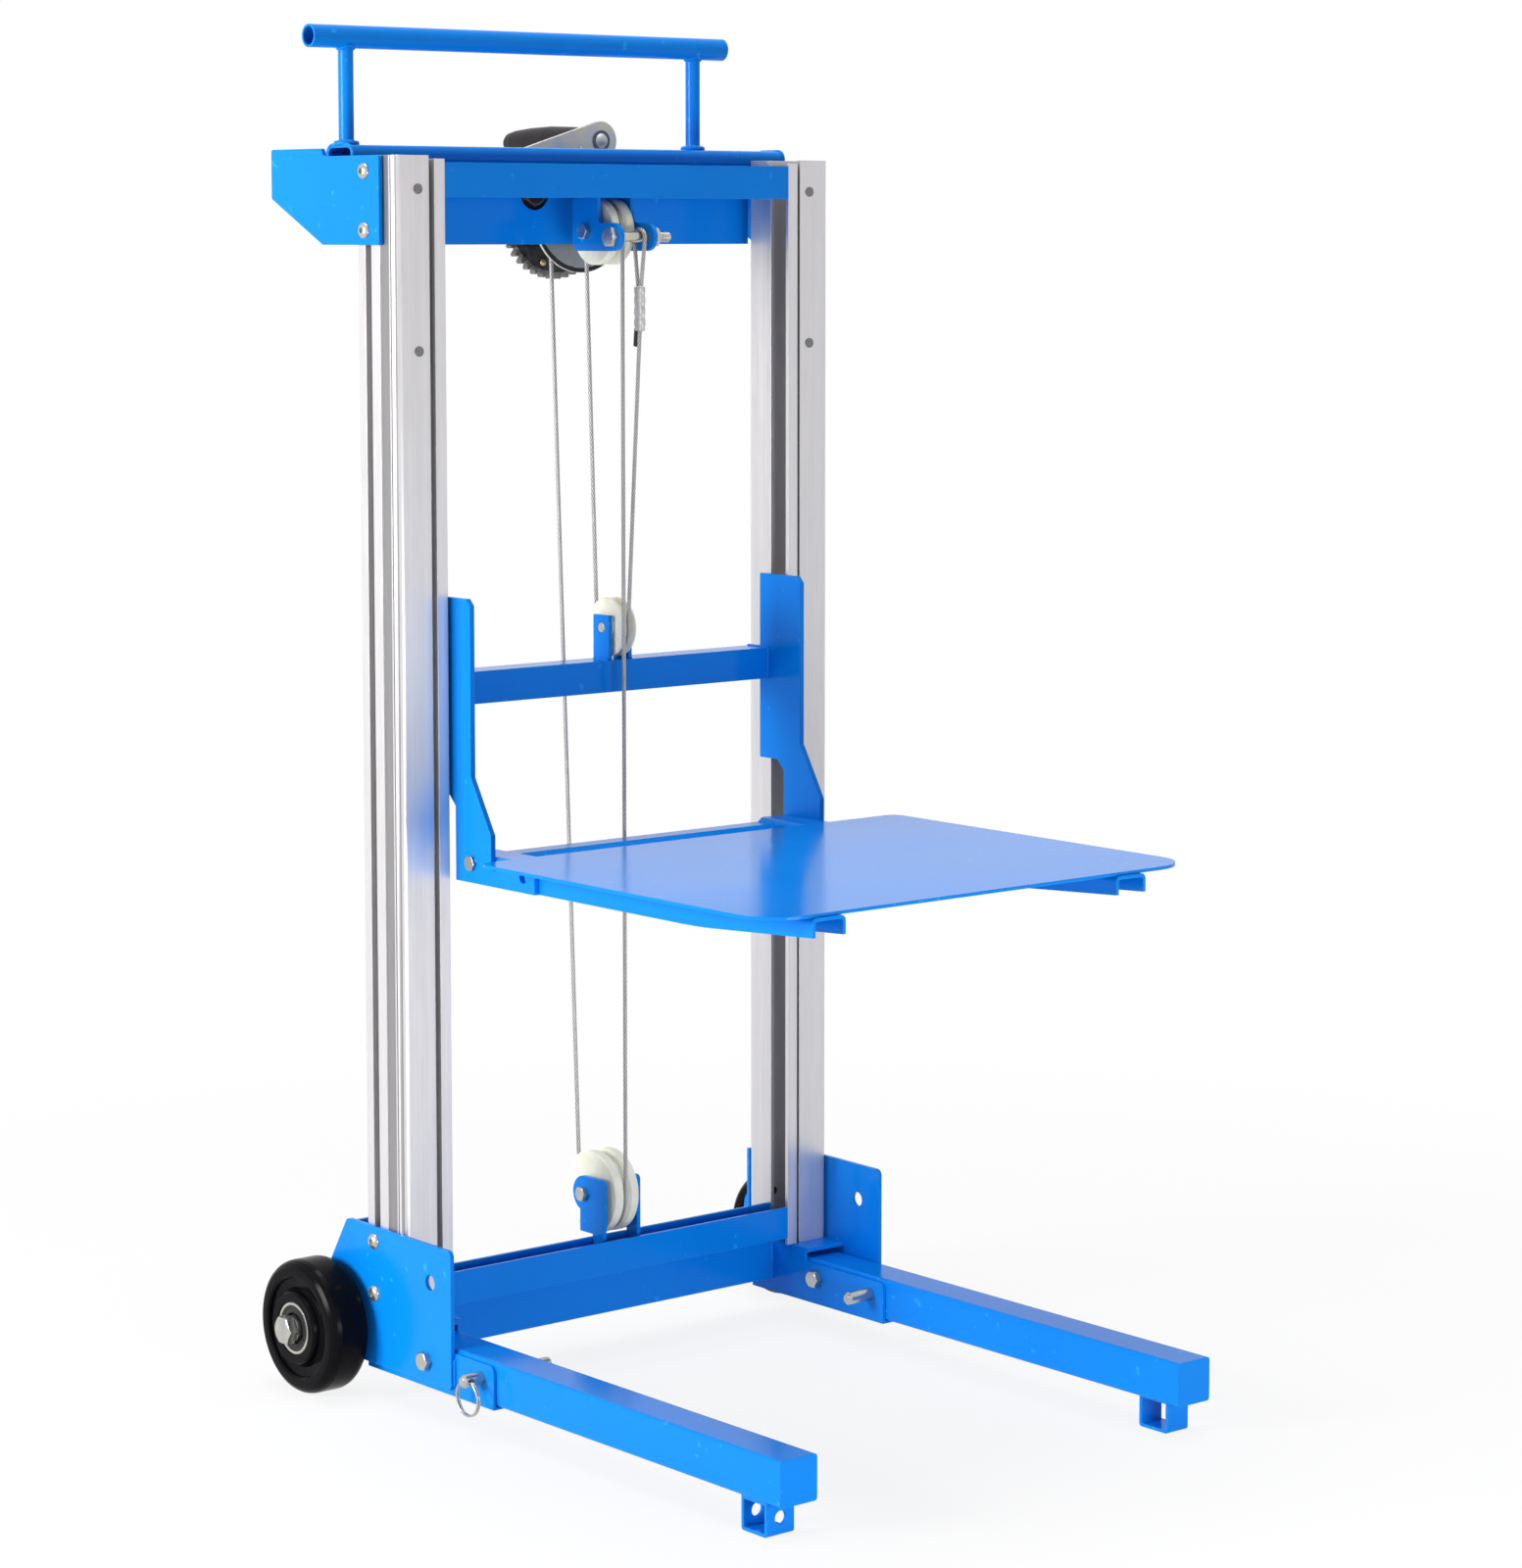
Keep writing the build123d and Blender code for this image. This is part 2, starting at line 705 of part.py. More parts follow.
# Bracket of the lower pulley: a foot and two ears, notched to stand in the bottom channel
low_ear_left = ROPE_X - LOW_WIDTH / 2 - EAR_GAP - EAR
low_ear_right = ROPE_X + LOW_WIDTH / 2 + EAR_GAP
ear_floor = CHANNEL_BOTTOM + INNER_WALL
ear_top = LOW_Z + LOW_EAR_LOBE
ear = rect(LOW_EAR_FRONT, LOW_Y, LOW_EAR_WAIST, ear_top)
ear = fillet(ear.vertices().sort_by_distance((LOW_EAR_FRONT, ear_top))[0], LOW_EAR_CORNER)
ear += rect(LOW_Y, LOW_EAR_BACK, LOW_EAR_WAIST, LOW_Z)
ear += Pos(LOW_Y, LOW_Z) * Circle(LOW_EAR_LOBE)
ear += rect(LOW_EAR_FRONT, LOW_EAR_FOOT_BACK, ear_floor, LOW_EAR_WAIST)
ears = extrude(Plane.YZ.offset(low_ear_left) * ear, EAR, dir=(1, 0, 0))
ears += extrude(Plane.YZ.offset(low_ear_right) * ear, EAR, dir=(1, 0, 0))
ears += box(
    low_ear_left,
    low_ear_right + EAR,
    LOW_EAR_FRONT,
    LOW_EAR_FOOT_BACK,
    ear_floor,
    ear_floor + EAR,
)
ears -= rod_x(AXLE_RADIUS + PLAY, low_ear_left - EAR, low_ear_right + 2 * EAR, LOW_Y, LOW_Z)
write("lower_pulley_bracket", ears)


def axle_bolt(radius, x0, x1, y, z):
    """A hexagon bolt along X with a nut, its head to the left of x0 and its nut past x1."""
    bolt = rod_x(radius, x0, x1 + AXLE_HEAD + AXLE_END, y, z)
    bolt += hex_x(AXLE_HEAD_FLATS, x0 - AXLE_HEAD, x0, y, z)
    bolt += hex_x(AXLE_HEAD_FLATS, x1, x1 + AXLE_HEAD, y, z)
    return bolt


# Bolts of the inner mast: the two pulley axles and the cross bolt of the rope's eye
top_axle = axle_bolt(AXLE_RADIUS, top_ear_left, top_ear_right + EAR, TOP_Y, TOP_Z)
low_axle = axle_bolt(AXLE_RADIUS, low_ear_left, low_ear_right + EAR, LOW_Y, LOW_Z)
eye_bolt = rod_x(EYE_BOLT_RADIUS, top_ear_left, EYE_BOLT_END, EYE_Y, EYE_Z)
eye_bolt += hex_x(EYE_BOLT_FLATS, top_ear_left - EYE_BOLT_HEAD, top_ear_left, EYE_Y, EYE_Z)
nut_start = top_ear_right + EAR
eye_bolt += hex_x(EYE_BOLT_FLATS, nut_start, nut_start + EYE_NUT, EYE_Y, EYE_Z)
write("pulley_bolts", group([top_axle, low_axle, eye_bolt]))


def fall(x, y, z):
    """A point of the rope's route."""
    return Vector(x, y, z)


# Rope that stays with the inner mast: under the lower pulley, up, and over the top pulley
low_back = fall(ROPE_X, LOW_Y + LOW_ROPE, LOW_Z)
low_under = fall(ROPE_X, LOW_Y, LOW_Z - LOW_ROPE)
low_front = fall(ROPE_X, ROPE_FRONT, LOW_Z)
top_front = fall(ROPE_X, ROPE_FRONT, TOP_Z)
top_over = fall(ROPE_X, TOP_Y, TOP_Z + TOP_ROPE)
top_back = fall(ROPE_X, TOP_Y + TOP_ROPE, TOP_Z)
mast_rope = tube_along(
    [
        Edge.make_three_point_arc(low_back, low_under, low_front),
        Edge.make_line(low_front, top_front),
        Edge.make_three_point_arc(top_front, top_over, top_back),
    ]
)

# Eye of the rope's end, round the cross bolt and down to the ferrule
loop_z = EYE_Z + EYE_BOLT_RADIUS + ROPE / 2 + FIT - EYE_LOOP
eye_side = ROPE / 2 + CLEAR
eye_foot = FERRULE_TOP + 2 * CLEAR
eye_drop = loop_z - eye_foot
far = math.hypot(eye_side, eye_drop)
turn = math.acos(EYE_LOOP / far) + math.atan2(eye_side, eye_drop)
touch_y = EYE_LOOP * math.sin(turn)
touch_z = -EYE_LOOP * math.cos(turn)
eye_left = fall(EYE_X, EYE_Y - touch_y, loop_z + touch_z)
eye_right = fall(EYE_X, EYE_Y + touch_y, loop_z + touch_z)
eye_crown = fall(EYE_X, EYE_Y, loop_z + EYE_LOOP)
eye_rope = tube_along(
    [
        Edge.make_line(fall(EYE_X, EYE_Y - eye_side, eye_foot), eye_left),
        Edge.make_three_point_arc(eye_left, eye_crown, eye_right),
        Edge.make_line(eye_right, fall(EYE_X, EYE_Y + eye_side, eye_foot)),
    ]
)
write("rope_mast_loop", group([mast_rope, eye_rope]))

# Pressed ferrule below the eye
ferrule = Pos(EYE_X, EYE_Y, FERRULE_BOTTOM) * extrude(
    RectangleRounded(FERRULE_THICK, FERRULE_WIDE, FERRULE_ROUND), FERRULE_TOP - FERRULE_BOTTOM
)
write("rope_ferrule", ferrule)


def strand(start, end):
    """A straight run of rope, cut a little short of both ends."""
    way = (end - start).normalized() * ROPE_END_GAP
    return tube_along([Edge.make_line(start + way, end - way)])


# Runs of rope that change length: drum to lower pulley, top pulley to carriage, eye to carriage
drum_leave = fall(DRUM_X - WIND_RADIUS, WIND_FRONT, DRUM_Z)
car_back = fall(CAR_X, CAR_Y + CAR_ROPE, CAR_Z)
car_under = fall(CAR_X, CAR_Y, CAR_Z - CAR_ROPE)
car_front = fall(CAR_X, CAR_Y - CAR_ROPE, CAR_Z)
ferrule_foot = fall(EYE_X, EYE_Y, FERRULE_BOTTOM)
write("rope_drum_run", strand(low_back, drum_leave))
write("rope_rear_fall", strand(car_back, top_back))
write("rope_front_fall", strand(car_front, ferrule_foot))

# Rope under the carriage pulley
write("rope_carriage_wrap", tube_along([Edge.make_three_point_arc(car_back, car_under, car_front)]))

# Head side plates
head_plate = plate_yz(HEAD_OUTLINE, PLATE_IN, PLATE_OUT, HEAD_CORNER)
for z in HEAD_BOLT_Z:
    head_plate -= rod_x(BOLT_RADIUS + PLAY, PLATE_IN - PLATE, PLATE_OUT + PLATE, SLOT_Y, z)
write_pair("head_side_plate", head_plate)

# Head tube between the side plates, a rounded oblong with open ends
tube_size = (TUBE_BACK - TUBE_FRONT, TUBE_TOP - TUBE_BOTTOM)
tube_ring = RectangleRounded(tube_size[0], tube_size[1], TUBE_ROUND)
tube_ring -= RectangleRounded(
    tube_size[0] - 2 * TUBE_WALL, tube_size[1] - 2 * TUBE_WALL, TUBE_ROUND - TUBE_WALL
)
tube_centre = Pos(TUBE_Y, (TUBE_TOP + TUBE_BOTTOM) / 2)
write("head_tube", extrude(Plane.YZ.offset(-PLATE_IN) * (tube_centre * tube_ring), 2 * PLATE_IN))

# Handle posts with their weld beads, cut to the bar that they carry
bar_core = rod_x(HANDLE_RADIUS, HANDLE_LEFT, HANDLE_RIGHT, TUBE_Y, HANDLE_Z)
posts = []
for x in (POST_LEFT, POST_RIGHT):
    post = rod_z(POST_RADIUS, TUBE_TOP, HANDLE_Z, x, TUBE_Y)
    bead = Pos(x, TUBE_Y, TUBE_TOP + WELD_HEIGHT / 2) * Cone(WELD_RADIUS, POST_RADIUS, WELD_HEIGHT)
    posts.append((post + bead) - bar_core)
write("handle_posts", group(posts))

# Handle bar, an open tube
bore = rod_x(
    HANDLE_RADIUS - HANDLE_WALL, HANDLE_LEFT - CLEAR, HANDLE_RIGHT + CLEAR, TUBE_Y, HANDLE_Z
)
write("handle_bar", bar_core - bore)

# Winch panel, bent back at both ends, with a hole before the pinion shaft
outer = rect(-PANEL_HALF, PANEL_HALF, PANEL_FRONT, PANEL_BACK)
inner_half = PANEL_HALF - PANEL_SHEET
inner_front = PANEL_FRONT + PANEL_SHEET
hollow = rect(-inner_half, inner_half, inner_front, PANEL_BACK + PANEL_SHEET)
outer = fillet(outer.vertices().group_by(Axis.Y)[0], PANEL_BEND)
hollow = fillet(hollow.vertices().group_by(Axis.Y)[0], PANEL_BEND - PANEL_SHEET)
panel = Pos(0, 0, PANEL_BOTTOM) * extrude(outer - hollow, PANEL_TOP - PANEL_BOTTOM)
panel -= rod_y(PANEL_HOLE, PANEL_FRONT - PLATE, inner_front + PLATE, PINION_X, PINION_Z)
write("winch_panel", panel)

# Winch frame: a front plate behind the panel, four tie rods and the drum's fixed axle
frame_back = inner_front + PLATE
frame = box(FRAME_LEFT, FRAME_RIGHT, inner_front, frame_back, FRAME_BOTTOM, FRAME_TOP)
for x in (FRAME_LEFT + TIE_INSET, FRAME_RIGHT - TIE_INSET):
    for z in (FRAME_BOTTOM + TIE_INSET, FRAME_TOP - TIE_INSET):
        frame += rod_y(TIE_RADIUS, frame_back, BACK_FRONT, x, z)
frame += rod_y(DRUM_AXLE, frame_back, BACK_FRONT, DRUM_X, DRUM_Z)
frame += rod_y(GEAR_HUB, frame_back, DRUM_FRONT - CLEAR, DRUM_X, DRUM_Z)
frame -= rod_y(SHAFT_RADIUS + FIT, inner_front - CLEAR, frame_back + CLEAR, PINION_X, PINION_Z)
write("winch_frame", frame)

# Back plate of the head, with the rear bearing of the pinion shaft
back = box(-PLATE_IN, PLATE_IN, BACK_FRONT, BACK_FRONT + PLATE, BACK_WAIST, BACK_TOP)
back += box(FRAME_LEFT, FRAME_RIGHT, BACK_FRONT, BACK_FRONT + PLATE, BACK_BOTTOM, BACK_WAIST)
back += rod_y(ARM_HUB, BACK_FRONT + PLATE, ARM_HUB_FRONT - CLEAR, PINION_X, PINION_Z)
back -= rod_y(SHAFT_RADIUS + FIT, BACK_FRONT - CLEAR, ARM_HUB_FRONT, PINION_X, PINION_Z)
write("winch_back_plate", back)


def involute(angle):
    """The involute of a pressure angle."""
    return math.tan(angle) - angle


def gear_outline(teeth, first):
    """A spur gear's outline with one tooth centred on the angle first."""
    pitch = MODULE * teeth / 2
    base = pitch * math.cos(PRESSURE)
    tip = pitch + ADDENDUM * MODULE
    root = pitch - DEDENDUM * MODULE
    half_tooth = (math.pi * MODULE / 2 - BACKLASH) / (2 * pitch)
    start = max(base, root)
    points = []
    for tooth in range(teeth):
        middle = first + 2 * math.pi * tooth / teeth
        flank = []
        for step in range(FLANK_POINTS):
            radius = start + (tip - start) * step / (FLANK_POINTS - 1)
            press = math.acos(min(1.0, base / radius))
            flank.append((radius, half_tooth + involute(PRESSURE) - involute(press)))
        if root < base:
            flank.insert(0, (root, flank[0][1]))
        for radius, spread in flank:
            points.append((radius * math.cos(middle - spread), radius * math.sin(middle - spread)))
        for radius, spread in reversed(flank):
            points.append((radius * math.cos(middle + spread), radius * math.sin(middle + spread)))
    return Polygon(*points, align=None)


# Drum gear, bored for the drum's axle, and the drum that it is fixed to
to_pinion = math.atan2(PINION_Z - DRUM_Z, PINION_X - DRUM_X)
drum_bore = rod_y(DRUM_AXLE + FIT, DRUM_FRONT - PLATE, BACK_FRONT, DRUM_X, DRUM_Z)
gear = plate_xz(Pos(DRUM_X, DRUM_Z) * gear_outline(GEAR_TEETH, to_pinion), GEAR_FRONT, GEAR_BACK)
gear += rod_y(GEAR_HUB, GEAR_BACK, GEAR_HUB_BACK, DRUM_X, DRUM_Z)
write("drum_gear", gear - drum_bore)

drum = rod_y(DRUM_FLANGE, DRUM_FRONT, DRUM_FRONT + DRUM_SHEET, DRUM_X, DRUM_Z)
drum += rod_y(DRUM_BARREL - FIT, DRUM_FRONT + DRUM_SHEET, GEAR_FRONT, DRUM_X, DRUM_Z)
write("winch_drum", drum - drum_bore)

# Winding: a helix about the drum's axis, each quarter turn a pair of tangent arcs
rise = WIND_PITCH / (2 * math.pi)


def helix_point(turned_by):
    """A point of the winding; it starts where the straight run leaves the drum."""
    return Vector(
        DRUM_X - WIND_RADIUS * math.cos(turned_by),
        WIND_FRONT + rise * turned_by,
        DRUM_Z + WIND_RADIUS * math.sin(turned_by),
    )


def helix_way(turned_by):
    """The winding's direction at the same point."""
    return Vector(
        WIND_RADIUS * math.sin(turned_by), rise, WIND_RADIUS * math.cos(turned_by)
    ).normalized()


wind_edges = []
quarter = math.pi / 2
for step in range(4 * WIND_LOOPS):
    p0 = helix_point(step * quarter)
    p1 = helix_point((step + 1) * quarter)
    t0 = helix_way(step * quarter)
    t1 = helix_way((step + 1) * quarter)
    span = p1 - p0
    both = t0 + t1
    spare = 2 * (1 - t0.dot(t1))
    run = (math.sqrt(span.dot(both) ** 2 + spare * span.dot(span)) - span.dot(both)) / spare
    middle = (p0 + t0 * run + p1 - t1 * run) * 0.5
    first_arc = Edge.make_tangent_arc(p0, t0, middle)
    wind_edges.append(first_arc)
    wind_edges.append(Edge.make_tangent_arc(middle, first_arc % 1, p1))
write("rope_winding", tube_along(wind_edges))
least = math.inf
per_turn = WIND_CHECK // WIND_LOOPS
marks = [helix_point(2 * math.pi * WIND_LOOPS * k / WIND_CHECK) for k in range(WIND_CHECK)]
for k, here in enumerate(marks):
    for there in marks[k + per_turn // 2:]:
        least = min(least, (there - here).length - ROPE)
print("least gap of the winding to itself: %.2f mm" % least)

# Pinion shaft with its pinion, which meshes with the drum gear
shaft = rod_y(SHAFT_RADIUS, SHAFT_FRONT, SHAFT_BACK, PINION_X, PINION_Z)
half_pitch = math.pi / PINION_TEETH
pinion = gear_outline(PINION_TEETH, to_pinion + math.pi + half_pitch)
shaft += plate_xz(Pos(PINION_X, PINION_Z) * pinion, PINION_FRONT, PINION_BACK)
shaft += hex_y(NUT_FLATS, ARM_BACK, SHAFT_BACK - FIT, PINION_X, PINION_Z)
write("pinion_shaft", shaft)

# Crank arm, a flat bar with round ends and a hub
arm_line = Line((PINION_X, PINION_Z), (ARM_X, ARM_Z))
arm_flat = SlotCenterToCenter(ARM_LENGTH, 2 * ARM_HALF, rotation=math.degrees(ARM_ANGLE))
arm_middle = arm_line @ 0.5
arm = plate_xz(Pos(arm_middle.X, arm_middle.Y) * arm_flat, ARM_FRONT, ARM_BACK)
arm += rod_y(ARM_HUB, ARM_HUB_FRONT, ARM_FRONT, PINION_X, PINION_Z)
arm -= rod_y(SHAFT_RADIUS + FIT, ARM_HUB_FRONT - CLEAR, ARM_BACK + CLEAR, PINION_X, PINION_Z)
arm -= rod_y(GRIP_BOLT + FIT, ARM_FRONT - CLEAR, ARM_BACK + CLEAR, ARM_X, ARM_Z)
hole_at = arm_line @ (1 - ARM_HOLE_INSET / ARM_LENGTH)
arm -= rod_y(ARM_HOLE, ARM_FRONT - CLEAR, ARM_BACK + CLEAR, hole_at.X, hole_at.Y)
write("crank_arm", arm)

# Grip bolt with a domed head on the front of the arm
dome = Rot(0, 0, -90) * dome_x(GRIP_BOLT_HEAD, GRIP_BOLT_DOME, 0, 0, 0)
grip_bolt = Pos(ARM_X, ARM_FRONT, ARM_Z) * dome
grip_bolt += rod_y(GRIP_BOLT, ARM_FRONT, GRIP_START + GRIP_BORE_END - CLEAR, ARM_X, ARM_Z)
grip_bolt += rod_y(GRIP_COLLAR, ARM_BACK, GRIP_START - CLEAR, ARM_X, ARM_Z)
write("grip_bolt", grip_bolt)

# Crank grip, turned, with a blind bore for its bolt
grip_points = [(0, GRIP_BOLT + FIT)]
grip_points += list(GRIP_PROFILE)
grip_points += [(GRIP_PROFILE[-1][0], 0), (GRIP_BORE_END, 0), (GRIP_BORE_END, GRIP_BOLT + FIT)]
write("crank_grip", turned_y(grip_points, ARM_X, GRIP_START, ARM_Z))

# Base side plates
base_plate = plate_yz(BASE_OUTLINE, PLATE_IN, PLATE_OUT, BASE_CORNER)
for z in BASE_BOLT_Z:
    base_plate -= rod_x(BOLT_RADIUS + PLAY, PLATE_IN - PLATE, PLATE_OUT + PLATE, SLOT_Y, z)
base_plate -= rod_x(
    LEG_BOLT_RADIUS + PLAY, PLATE_IN - PLATE, PLATE_OUT + PLATE, LEG_BOLT_Y, LEG_BOLT_Z
)
base_plate -= rod_x(EMPTY_RADIUS, PLATE_IN - PLATE, PLATE_OUT + PLATE, EMPTY_Y, EMPTY_Z)
base_plate -= rod_x(
    AXLE_BOLT + PLAY, PLATE_IN - PLATE, PLATE_OUT + PLATE, WHEEL_Y, WHEEL_RADIUS
)
base_plate += box(
    PLATE_IN - RETURN_WIDTH, PLATE_IN, RETURN_BACK - PLATE, RETURN_BACK, RETURN_BOTTOM, RETURN_TOP
)
write_pair("base_side_plate", base_plate)

# Cross beam of the base, a square tube between the leg channels
beam = box(-LEG_CHANNEL_IN, LEG_CHANNEL_IN, BEAM_FRONT, BEAM_BACK, BEAM_BOTTOM, UPRIGHT_BOTTOM)
beam -= box(
    -LEG_CHANNEL_IN - CLEAR,
    LEG_CHANNEL_IN + CLEAR,
    BEAM_FRONT + BEAM_WALL,
    BEAM_BACK - BEAM_WALL,
    BEAM_BOTTOM + BEAM_WALL,
    UPRIGHT_BOTTOM - BEAM_WALL,
)
write("base_cross_beam", beam)

# Leg channels, open at the top, each with the shelf that its upright stands on
leg_channel = box(
    LEG_CHANNEL_IN,
    PLATE_IN,
    LEG_CHANNEL_FRONT,
    LEG_CHANNEL_BACK,
    LEG_BOTTOM - CLEAR - CHANNEL_WALL,
    LEG_CHANNEL_TOP,
)
leg_channel -= box(
    LEG_X - LEG_SIZE / 2 - CLEAR,
    LEG_X + LEG_SIZE / 2 + CLEAR,
    LEG_CHANNEL_FRONT - CLEAR,
    LEG_CHANNEL_BACK + CLEAR,
    LEG_BOTTOM - CLEAR,
    LEG_CHANNEL_TOP + CLEAR,
)
front_edges = leg_channel.edges().filter_by(Axis.X).group_by(Axis.Y)[0]
leg_channel = fillet(front_edges.group_by(Axis.Z)[-1], LEG_CHANNEL_ROUND)
leg_channel += box(
    LEG_CHANNEL_IN, PLATE_IN, SHELF_FRONT, BEAM_BACK, UPRIGHT_BOTTOM - SHELF, UPRIGHT_BOTTOM
)
leg_channel += box(
    LEG_CHANNEL_IN,
    LEG_CHANNEL_IN + CHANNEL_WALL,
    SHELF_FRONT + SHELF,
    LEG_CHANNEL_BACK,
    LEG_CHANNEL_TOP - SHELF,
    UPRIGHT_BOTTOM,
)
leg_channel -= rod_x(PIN_RADIUS + FIT, LEG_CHANNEL_IN - PLATE, PLATE_OUT, PIN_Y, PIN_Z)
leg_channel -= rod_x(
    LEG_BOLT_RADIUS + PLAY, LEG_CHANNEL_IN - PLATE, PLATE_OUT, LEG_BOLT_Y, LEG_BOLT_Z
)
write_pair("leg_channel", leg_channel)

# Legs, square tubes closed at the tip, with a foot of cross tube under the tip
leg = box(
    LEG_X - LEG_SIZE / 2,
    LEG_X + LEG_SIZE / 2,
    LEG_TIP,
    LEG_BACK,
    LEG_BOTTOM,
    LEG_BOTTOM + LEG_SIZE,
)
leg = fillet(leg.edges().filter_by(Axis.Y), LEG_ROUND)
leg -= box(
    LEG_X - LEG_SIZE / 2 + LEG_WALL,
    LEG_X + LEG_SIZE / 2 - LEG_WALL,
    LEG_TIP + LEG_WALL,
    LEG_BACK + CLEAR,
    LEG_BOTTOM + LEG_WALL,
    LEG_BOTTOM + LEG_SIZE - LEG_WALL,
)
leg -= rod_x(PIN_RADIUS + FIT, LEG_CHANNEL_IN, PLATE_IN, PIN_Y, PIN_Z)
leg -= rod_x(LEG_BOLT_RADIUS + PLAY, LEG_CHANNEL_IN, PLATE_IN, LEG_BOLT_Y, LEG_BOLT_Z)


def foot(out, back):
    """A foot of square tube across the leg's tip, open at both sides."""
    tube = box(FOOT_IN, out, FOOT_FRONT, back, 0, LEG_BOTTOM)
    tube = fillet(tube.edges().filter_by(Axis.X).group_by(Axis.Z)[0], FOOT_ROUND)
    return tube - box(
        FOOT_IN - CLEAR,
        out + CLEAR,
        FOOT_FRONT + FOOT_WALL,
        back - FOOT_WALL,
        FOOT_WALL,
        LEG_BOTTOM - FOOT_WALL,
    )


foot_x = (FOOT_IN + FOOT_OUT) / 2
foot_bore = rod_y(FOOT_HOLE, FOOT_FRONT - CLEAR, FOOT_BACK + CLEAR, foot_x, FOOT_HOLE_Z)
write("leg_right", leg + foot(FOOT_RIGHT_OUT, FOOT_RIGHT_BACK))
write("leg_left", left_of(leg + foot(FOOT_OUT, FOOT_BACK) - foot_bore))

# Side plate bolts: domed bolts with nuts in the T-slots, and the hexagon leg bolts
bolts = []
for z in HEAD_BOLT_Z + BASE_BOLT_Z:
    nut_out = PLATE_IN - UPRIGHT_WALL - FIT
    bolt = dome_x(BOLT_HEAD, BOLT_DOME, PLATE_OUT + FIT, SLOT_Y, z)
    bolt += rod_x(BOLT_RADIUS, nut_out - TNUT_THICK, PLATE_OUT + FIT, SLOT_Y, z)
    bolt += box(
        nut_out - TNUT_THICK, nut_out, box_front + CLEAR, box_back - CLEAR, z - TNUT, z + TNUT
    )
    bolts.append(bolt)
bolt_out = PLATE_OUT + FIT
bolt_in = LEG_CHANNEL_IN - FIT
bolt = hex_x(LEG_BOLT_FLATS, bolt_out, bolt_out + LEG_BOLT_HEAD, LEG_BOLT_Y, LEG_BOLT_Z)
bolt += rod_x(LEG_BOLT_RADIUS, bolt_in - LEG_NUT, bolt_out, LEG_BOLT_Y, LEG_BOLT_Z)
bolt += hex_x(LEG_BOLT_FLATS, bolt_in - LEG_NUT, bolt_in, LEG_BOLT_Y, LEG_BOLT_Z)
bolts.append(bolt)
write("side_plate_bolts", both_sides(group(bolts)))

# Locking pins with a cross hole for their rings
pin = rod_x(PIN_RADIUS, PIN_IN, PIN_OUT, PIN_Y, PIN_Z)
pin = chamfer(pin.edges().filter_by(GeomType.CIRCLE), PIN_TIP)
pin -= rod_y(RING_HOLE, PIN_Y - 2 * PIN_RADIUS, PIN_Y + 2 * PIN_RADIUS, RING_X, PIN_Z)
write_pair("locking_pin", pin)
ring = Pos(RING_X, PIN_Y, PIN_Z - RING_LOOP) * Rot(0, 90, 0) * Torus(RING_LOOP, RING_WIRE)
write_pair("pin_ring", ring)

# Wheels, turned, with the bearing in a recess at both faces
wheel_middle = (WHEEL_IN + WHEEL_OUT) / 2
wheel_points = [(WHEEL_WIDTH / 2 - down, WHEEL_RADIUS - across) for across, down in WHEEL_PROFILE]
hub_face = wheel_points[-1][0]
inner_face = [(-height, radius) for height, radius in reversed(wheel_points)]
wheel_points += [(hub_face, AXLE_BOLT + FIT), (-hub_face, AXLE_BOLT + FIT)] + inner_face
write_pair("wheel", turned_x(wheel_points, wheel_middle, WHEEL_Y, WHEEL_RADIUS))

# Axle bolts of the wheels
head_start = wheel_middle + hub_face + CLEAR
axle = rod_x(AXLE_BOLT, PLATE_IN - AXLE_TAIL, head_start, WHEEL_Y, WHEEL_RADIUS)
head_seat = head_start + WHEEL_SPACER_LENGTH
axle += rod_x(WHEEL_SPACER, head_start, head_seat, WHEEL_Y, WHEEL_RADIUS)
axle += hex_x(AXLE_FLATS, head_seat, head_seat + WHEEL_BOLT_HEAD, WHEEL_Y, WHEEL_RADIUS)
axle += hex_x(AXLE_FLATS, PLATE_IN - AXLE_NUT, PLATE_IN - FIT, WHEEL_Y, WHEEL_RADIUS)
washer_end = wheel_middle - hub_face - CLEAR
axle += rod_x(WHEEL_WASHER, PLATE_OUT + FIT, washer_end, WHEEL_Y, WHEEL_RADIUS)
write("axle_bolts", both_sides(axle))

# Carriage side plates
cheek = plate_yz(CHEEK_OUTLINE, CHEEK_IN, CHEEK_OUT)
for y, z in CHEEK_HOLES:
    cheek -= rod_x(CHEEK_HOLE, CHEEK_IN - PLATE, CHEEK_OUT + PLATE, y, z)
cheek += dome_x(BOLT_HEAD, BOLT_DOME / 2, CHEEK_OUT, CHEEK_BOLT_Y, CHEEK_BOLT_Z)
write_pair("carriage_plate", cheek)

# Carriage cross tube behind the rope, and the solid bar between the fork roots
cross = box(-CHEEK_IN, CHEEK_IN, CROSS_FRONT, CROSS_BACK, CROSS_BOTTOM, CROSS_TOP)
cross -= box(
    -CHEEK_IN - CLEAR,
    CHEEK_IN + CLEAR,
    CROSS_FRONT + CROSS_WALL,
    CROSS_BACK - CROSS_WALL,
    CROSS_BOTTOM + CROSS_WALL,
    CROSS_TOP - CROSS_WALL,
)
front_bar = box(
    -FORK_IN, FORK_IN, FRONT_BAR_FRONT, FRONT_BAR_BACK, FRONT_BAR_BOTTOM, FRONT_BAR_TOP
)
write("carriage_cross_tube", cross)
write("carriage_front_bar", front_bar)

